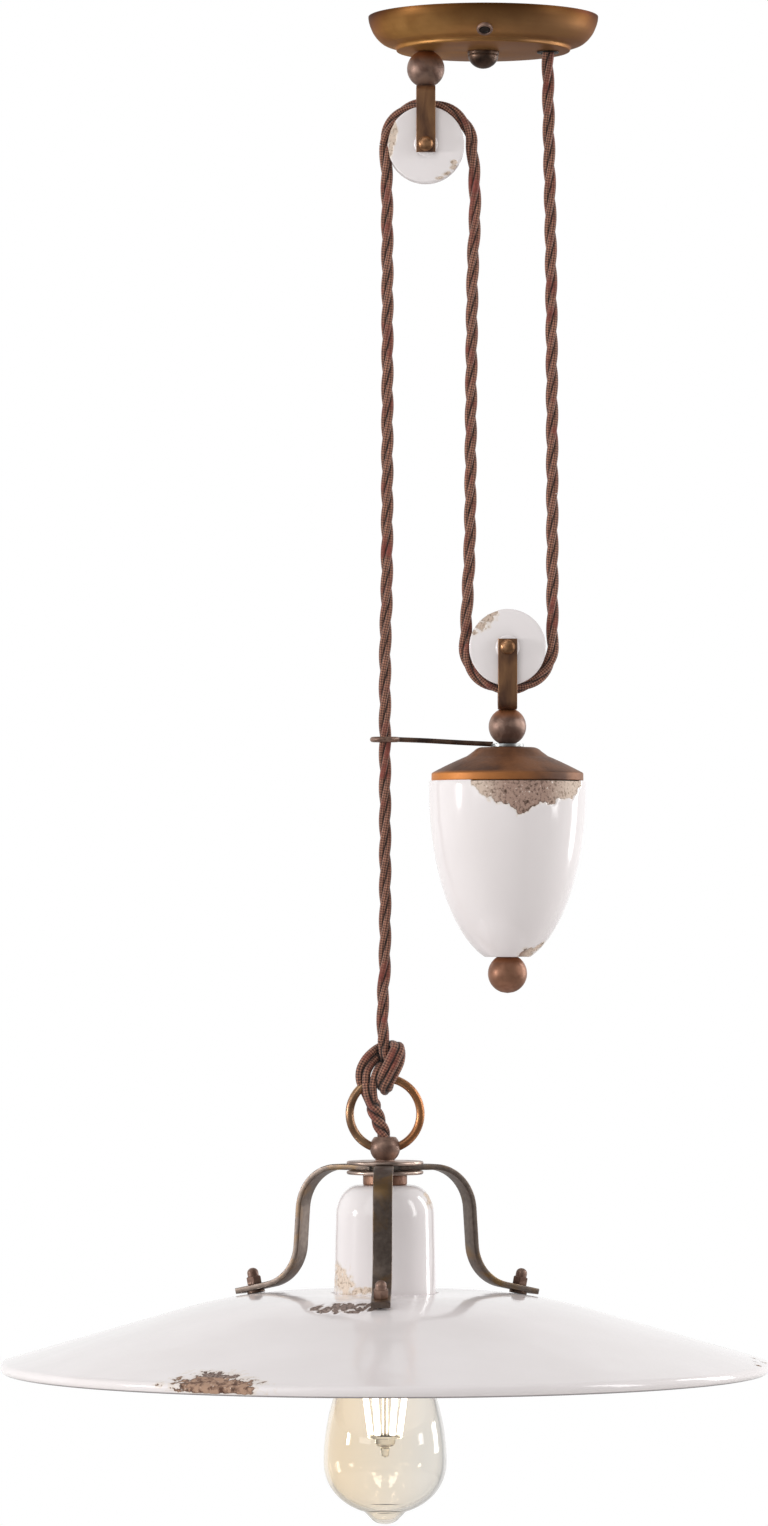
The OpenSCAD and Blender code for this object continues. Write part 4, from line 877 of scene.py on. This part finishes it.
# The urn: slip-cast, glazed white, chipped in a band below the cap and at the bottom edge.
urn_h, urn_r, urn_band, urn_foot_r, urn_top = 91.7, 40.9, 5, 12, -398.7
stretch = (urn_h - urn_band) / math.sqrt(1 - (urn_foot_r / urn_r) ** 2)
a = np.linspace(0, math.asin((urn_h - urn_band) / stretch), 120)
side = np.stack([urn_r * np.cos(a), -urn_band - stretch * np.sin(a)], -1)
foot = [side[-1], (urn_foot_r - 0.8, -urn_h), (3.4, -urn_h), (3.4, -urn_h + 4), (12, -urn_h + 6)]
inside = [(30, -50), (35.9, -10), (35.9, -0.1)]
lip = [(36.4, 0), (40.4, 0), (40.9, -0.6), (40.9, -2.6)]
outline = np.vstack([side, eased(foot, 0.8)[1:], inside, lip])
grid = turned(outline, (weight_x, 0, urn_top), 320)
from_axis = np.hypot(grid[..., 0] - weight_x * mm, grid[..., 1])
angle = np.degrees(np.arctan2(grid[..., 0] - weight_x * mm, -grid[..., 1]))
fall = urn_top - grid[..., 2] / mm
# How far the chipped band comes down below the cap, as pairs of an angle from the front and a depth.
band = np.array([
    (-30, 0), (-24, 4), (-17, 8), (-8, 11), (0, 12), (6, 17), (12, 18),
    (18, 13), (24, 11.5), (34, 11), (46, 10.5), (58, 8), (64, 3), (70, 0),
])
reach = np.interp(angle, *band.T)
ragged = 5.0 * (lumps(grid, 5 * mm, 21) - 0.5) + 2.5 * (lumps(grid, 2 * mm, 22) - 0.5)
field = np.clip(0.5 + (reach - fall + ragged * (reach > 0)) / 5, 0, 1)
field *= (from_axis > 36.2 * mm) * (reach > 0.5)
bottom = chip_field(angle, fall, [(46, 91, 19, 3.4), (64, 87, 9, 2.6)], grid, 23)
field = np.maximum(field, bottom * (fall < 92) * (fall > 70) * (from_axis > 8 * mm))
crust = 1 + 0.6 * np.clip((np.abs(angle - 13) - 16) / 20, 0, 1)
fitted(glazed("urn", grid, field, 0.5 * mm, crust), "counterweight", "white_ceramic", "weight_urn")

# Cast iron filling, poured in as coarse grains.
iron_filling = clouded(
    "cast_iron_filling", ("#3a3836", "#5c5956"), dict(Scale=700, Detail=2), Metallic=0.6, Roughness=0.7
)[0]
coated(iron_filling, "weight_core")
coated(zinc_steel, "weight_bolt")


# ---- Carry ring and gland ----
# A ring of drawn brass wire, browned, and coppery towards its right. The gland ball rides on it, takes
# the flex in from above and holds the hollow tube of the lamp.

aged_brass, tree, surface, place, _, gold = clouded(
    "aged_brass_wire", ("#8b6850", "#b8926f"), dict(Scale=85, Detail=4, Distortion=0.5),
    (0.38, 0.66), (0.42, 0.28), Metallic=0.85,
)
at = add(tree, "SeparateXYZ", place)
to_the_right = add(tree, "MapRange", at.outputs["X"], -52 * mm, -36 * mm, 0, 0.6)
coppery = add(tree, "Mix", to_the_right, gold, "#b4713f")
feed(surface, {"Base Color": coppery})

ring_r, ring_z, ring_d = 18.4, -572, 4.4
ring_line = turned([(ring_r, 0)], (lamp_x, 0, ring_z), 144, "y")[0]
ring = wire("ring", ring_line, ring_d, aged_brass, closed=True, sides=20)
fitted(ring, "hanger", "aged_wire", "carry_ring")

gland_r = 7.9
h = np.linspace(5.2, -6.2, 36)
globe = np.stack([np.sqrt(gland_r**2 - h * h), h], -1)
mouth = [(3.55, 3), (3.7, 5.5), (4.6, 5.75), (5.6, 5.6)]
outline = np.vstack([mouth, globe, [(5.2, -6.8), (2.6, -6.8), (2.6, 3)]])
gland = skin("gland", turned(outline, (lamp_x, 0, -589.7), 72), browned_steel, loop=True)
fitted(gland, "lamp", "rusty_iron", "gland_ball")


# ---- Clamping plates and collar ----
# Two turned steel discs hold the three arms between them with rivets. A rusty collar spaces them from
# the ceramic cup, and the threaded tube runs through them all.

# Turned steel, worn to bare metal in patches between the brown.
worn_steel = clouded(
    "worn_turned_steel", ("#8e7d74", "#cbb4a6"), dict(Scale=75, Detail=5, Distortion=0.6),
    (0.38, 0.62), (0.46, 0.3), Metallic=0.9,
)[0]

outline = eased([(4.15, 0), (19.4, 0), (20, -0.6), (20, -1.4), (19.4, -2), (4.15, -2)], 0.5)
for name, top in (("top_disc", -596.5), ("bottom_disc", -601.5)):
    disc_piece = skin(name, turned(outline, (lamp_x, 0, top), 96), worn_steel, loop=True)
    fitted(disc_piece, "lamp", "rusty_iron", name.replace("disc", "plate"))
collar = eased([(4.15, 0), (11.1, 0), (11.5, -0.6), (11.5, -4.9), (11.1, -5.5), (4.15, -5.5)], 0.5)
grid = turned(collar, (lamp_x, 0, -603.5), 64)
half_rusty = {"rust": np.full(grid.shape[:2], 0.35)}
spacer_collar = skin("spacer_collar", grid, browned_steel, loop=True, marks=half_rusty)
fitted(spacer_collar, "lamp", "rusty_iron", "neck_collar")
coated(zinc_steel, "plate_rivets", "lamp_nipple", "nipple_nut")


# ---- Arms ----
# Three steel strips, bent to a shoulder and a foot, browned dark and burnished, with warm metal
# showing in patches.

burnished, tree, surface, place, fine, dark = clouded(
    "burnished_dark_strip", ("#52463f", "#84776e"), dict(Scale=420, Detail=3), Metallic=0.9
)
wide = add(tree, "TexNoise", place, Scale=60, Detail=5, Distortion=0.7)
band = add(tree, "MapRange", wide, 0.54, 0.7)
warm = add(tree, "Mix", band, dark, "#7f6546")
satin = add(tree, "MapRange", wide, 0, 1, 0.48, 0.3)
grain = add(tree, "Bump", Height=fine, Strength=0.2, Distance=0.1 * mm)
feed(surface, {"Base Color": warm, "Roughness": satin, "Normal": grain})


def bent_line(start, moves):
    """A line in a plane from (run, radius, bend): a straight run, then an arc of that radius by an angle
    in degrees, left when positive. It returns points of (out, up)."""
    here, heading = np.array(start, float), 0
    out = [here]
    for run, radius, bend in moves:
        out.extend(here + step * level_way(heading)[:2] for step in np.linspace(0, run, 10)[1:])
        if bend:
            left = math.copysign(radius, bend)
            centre = out[-1] + left * level_way(heading + 90)[:2]
            parts = np.linspace(0, bend, 19)[1:]
            out.extend(centre - left * level_way(heading + 90 + part)[:2] for part in parts)
        here, heading = out[-1], heading + bend
    return np.array(out)


arm_line = bent_line((6.6, -600), [(20.4, 23.5, -86), (19.71, 23, 74), (19.74, 0, 0)])
arm_angles = {"arm_front": -91.5, "arm_left": 148.5, "arm_right": 28.5}
for node, degrees in arm_angles.items():
    out_way = level_way(degrees)
    line = arm_line[:, :1] * out_way + arm_line[:, 1:] * [0, 0, 1] + [lamp_x, 0, 0]
    bar = strip(node + "_bar", line * mm, (-out_way[1], out_way[0], 0), 10, 3, burnished)
    fitted(bar, "lamp", "burnished_strip", node)


# ---- Ceramic cup and lampholder ----
# A white-glazed cup hides the lampholder. Its glaze is chipped at the shoulder and at the bottom left.

cup_top, flat_r, round_out, round_down = -609, 14, 11.6, 16
a = np.linspace(0, math.pi / 2, 24)
shoulder = np.stack([flat_r + round_out * np.sin(a), cup_top - round_down * (1 - np.cos(a))], -1)
wall = np.linspace((25.61, -625.6), (26.5, -665.2), 36)
inside = [
    (25.7, -666), (23.3, -666), (22.5, -665), (21.6, -627),
    (19, -618), (13, -613), (4.15, -613), (4.15, cup_top),
]
grid = turned(np.vstack([shoulder, wall, inside]), (lamp_x, 0, 0), 256)
across, up = grid[..., 0] / mm - lamp_x, grid[..., 2] / mm
cup_spots = [
    (-21, -661, 5, 8), (-24.5, -654, 2, 4), (-11, -663, 9, 1.8),
    (-18, -656, 2, 2), (23.5, -617, 2, 3.4), (21.5, -613.5, 1.2, 1.4),
]
in_front = (grid[..., 1] < 4 * mm) * (np.hypot(across, grid[..., 1] / mm) > 12)
field = 0.86 * chip_field(across, up, cup_spots, grid, 31) * in_front
fitted(glazed("glazed_cup", grid, field, 0.3 * mm, 1.85), "lamp", "white_ceramic", "lampholder_cup")
coated(white_glaze, "lampholder")
coated(bright_brass, "socket_shell", "centre_contact")


# ---- Shade ----
# Jiggered stoneware, 400 mm across, glazed white on both sides. The maker chips the glaze off the rim
# at the front left and in small flecks near the front foot.

shade_r, lip_r, wall = 200, 3, 5
shade_top, flat_r, arc_out, fall_angle = -665, 45, 61, 16.2
arc_r = arc_out / math.sin(math.radians(fall_angle))
a = np.radians(np.linspace(0, fall_angle, 31))
top = np.stack([flat_r + arc_r * np.sin(a), shade_top - arc_r * (1 - np.cos(a))], -1)
slope = np.linspace((106, -673.68), (197.84, -700.36), 60)[1:]
b = np.radians(np.linspace(90 - fall_angle, -154.4, 17)[1:])
lip = np.stack([shade_r - lip_r + lip_r * np.cos(b), -703.24 + lip_r * np.sin(b)], -1)
under_slope = np.linspace((191, -703.6), (106, -678.9), 8)
under_r, a = arc_r - wall, a[::-3]
under_arc = np.stack([flat_r + under_r * np.sin(a), shade_top - arc_r + under_r * np.cos(a)], -1)
flat = np.linspace((30, shade_top), (43, shade_top), 4)
hole = [(30, -670), (28.3, -670), (27.5, -669.2), (27.5, -665.8), (28.1, shade_top)]
outline = np.vstack([flat, top, slope, lip, under_slope, under_arc, hole])
row = np.arange(len(outline))[:, None]
lip_row = len(flat) + len(top) + len(slope)
grid = turned(outline, (lamp_x, 0, 0), 640)
side_x, front = grid[..., 0] / mm - lamp_x, -grid[..., 1] / mm
from_rim = shade_r - np.hypot(side_x, front)
arc = np.arctan2(side_x, front) * shade_r
# Chips on the rim by the length along it and the distance in from it, and short dashes by the front foot.
rim_spots = [(-90.5, 2, 21, 9), (-95, 7, 15, 11), (-83, 4, 12, 8), (-74, 1, 8, 4)]
specks = [(270, 4, 2.5, 1.6), (284, 7, 1.6, 1.2), (296, 3, 3, 1.5), (306, 8, 1.5, 1.2)]
field = chip_field(arc, from_rim, rim_spots + specks, grid, 41)
dash = lumps(np.stack([side_x + 0.25 * front, front / 4, 0 * front], -1), 1.5, 43)
cluster = 1 - np.hypot((side_x + 20) / 19, (front - 79) / 13)
dashes = np.clip(0.5 + 1.6 * (dash - 0.62 + 0.7 * cluster), 0, 1) * (cluster > 0)
field = np.maximum(field, dashes)
field *= np.clip((grid[..., 2] / mm + 706) / 1.5, 0, 1) * (row < lip_row + 8)
crust = -1.0 * (from_rim > 12)
# The lip's underside is painted grey, as painted shade along the rim's bottom edge.
lip_shade_band = ((row > lip_row + 7) & (row < lip_row + 13)) + 0 * field
shade = glazed("glazed_shade", grid, field, 0.5 * mm, crust, unglazed=lip_shade_band)
fitted(shade, "lamp", "white_ceramic", "shade")


# ---- Bolts through the feet ----
# Each arm's foot is held to the shade by a bolt from below, a spacer washer and a brass acorn nut on top.

feet = ((lamp_x, 80, -664.55), math.radians(12), arm_angles.values())
hexagon = [(0, 1.5), (3.9, 1.5), (4.21, 1.9), (4.21, 5.5), (3.7, 5.9), (0, 5.9)]
dome = [(0, 5), (2.95, 5), *domed(2.95, 7.9, 2.6, 0, 9)]
nuts = joined("acorn_caps", [
    standing("acorn_hexagons", hexagon, browned_steel, 6, *feet),
    standing("acorn_domes", dome, browned_steel, 32, *feet),
])
fitted(nuts, "lamp", "antique_brass", "acorn_nuts")
spacer = eased([(0, -1.5), (4.7, -1.5), (4.7, -2.9), (0, -2.9)], 0.3)
fitted(standing("foot_spacers", spacer, dark_wire, 40, *feet), "lamp", "dark_steel", "foot_washers")
coated(zinc_steel, "shade_bolts", "bolt_washers")


# ---- Bulb ----
# A clear pear-shaped lamp, 64 mm across, blown from soda glass with a faint amber tint. Six lit LED
# filaments stand on a glass stem inside. The E27 cap is nickel-plated.

# Blown glass, faintly uneven from seeds. Its tint is painted warmer at the left, as painted warm light on
# that side.
clear_glass, tree, surface, place = finish_named(
    "amber_soda_glass", Roughness=0, Transmission_Weight=1, IOR=1.45
)
at = add(tree, "SeparateXYZ", place)
# Painted warm light: the tint is warmer towards the left.
to_the_right = add(tree, "MapRange", at.outputs["X"], -83 * mm, -30 * mm)
tint = add(tree, "Mix", to_the_right, "#fbefdc", "#f4f1ec")
seed = add(tree, "TexNoise", place, Scale=35, Detail=1)
flow = add(tree, "Bump", Height=seed, Strength=0.08, Distance=1 * mm)
feed(surface, {"Base Color": tint, "Normal": flow})

neck_r, bulb_r, tip_r = 13.6, 32, 7.9
neck_top, widest_z, tip_z = -673.1, -752.1, -780.2
t = np.linspace(0, 1, 60)
swell = np.sin(t * math.pi / 2) ** 1.4
neck = np.stack([neck_r + (bulb_r - neck_r) * swell, neck_top + (widest_z - neck_top) * t], -1)
a = np.radians(np.linspace(0, 70, 40)[1:])
belly = np.stack([bulb_r * np.cos(a), widest_z - 28 * np.sin(a) ** 0.92], -1)
b = np.linspace(0.25, 1, 12) * math.pi / 2
tip = np.stack([tip_r * np.cos(b), tip_z - 4.9 * np.sin(b)], -1)
outer = np.vstack([[(13.2, -670.1), (13.6, -671)], neck, belly, tip])
step = np.gradient(outer, axis=0)
square = np.stack([step[:, 1], -step[:, 0]], -1) / np.linalg.norm(step, axis=1)[:, None]
glass_wall = 2.0
inner = outer + glass_wall * square
inner[:, 0] = np.maximum(inner[:, 0], 0)
outer[-1, 0] = 0
outline = np.vstack([outer[::-1], inner])
outline[-1, 0] = 0
glass = skin("bulb_envelope", turned(outline, (lamp_x, 0, 0), 128), clear_glass)
fitted(glass, "bulb", "bulb_glass", "bulb_glass")

# The stem, of drawn glass: a flare and rod, a disc that the filaments stand on and a tapered end.
stem_glass = clouded(
    "stem_glass", ("#e9e4d8", "#f6f3ec"), dict(Scale=90, Detail=2),
    Roughness=0.02, Transmission_Weight=1, IOR=1.5,
)[0]
flare = [(0, -670.2), (5.5, -670.2), (5.2, -674), (2.2, -684), (1.6, -690), (1.6, -738.4), (0, -738.4)]
seat = eased([(0, -738.4), (8.8, -738.4), (9.2, -739.2), (8.8, -740.6), (0, -740.6)], 0.3)
holder = eased([(0, -740.6), (5.6, -740.6), (5.2, -744), (2.4, -745.4), (1.9, -750), (0, -750.6)], 0.8)
parts = {"stem_rod": eased(flare, 3), "stem_seat": seat, "stem_holder": holder}
stem = joined("stem", [
    skin(name, turned(outline, (lamp_x, 0, 0), 40), stem_glass) for name, outline in parts.items()
])
fitted(stem, "bulb", "bulb_glass", "bulb_stem")

# Phosphor strips, lit from end to end, with a faint bead over each of the dies inside.
lit, tree, surface, place = finish_named("lit_phosphor", Roughness=0.5, Emission_Strength=6)
die_spacing = 1.5 * mm
at = add(tree, "SeparateXYZ", place)
dots = add(tree, "Math", at.outputs["Z"], 2 * math.pi / die_spacing, operation="MULTIPLY")
wave = add(tree, "Math", dots, operation="SINE")
beads = add(tree, "MapRange", wave, -1)
glow = add(tree, "Mix", beads, "#fdf6e6", "#fffefa")
feed(surface, {"Base Color": glow, "Emission Color": glow})
threads = []
for degrees in range(0, 360, 60):
    low = 7.6 * level_way(degrees) + [lamp_x, 0, -738.6]
    high = 12.4 * level_way(degrees) + [lamp_x, 0, -702.1]
    threads.append(wire(f"thread_{degrees}", np.linspace(low, high, 12) * mm, 2.8, lit))
fitted(joined("led_threads", threads), "bulb", "led_filament", "bulb_filaments")

# Nickel plate of the screw cap, hazed by handling.
nickel = clouded(
    "nickel_plate", ("#a9a59e", "#cfcac1"), dict(Scale=200, Detail=3), gloss=(0.18, 0.34), Metallic=1.0
)[0]
coated(nickel, "bulb_cap")
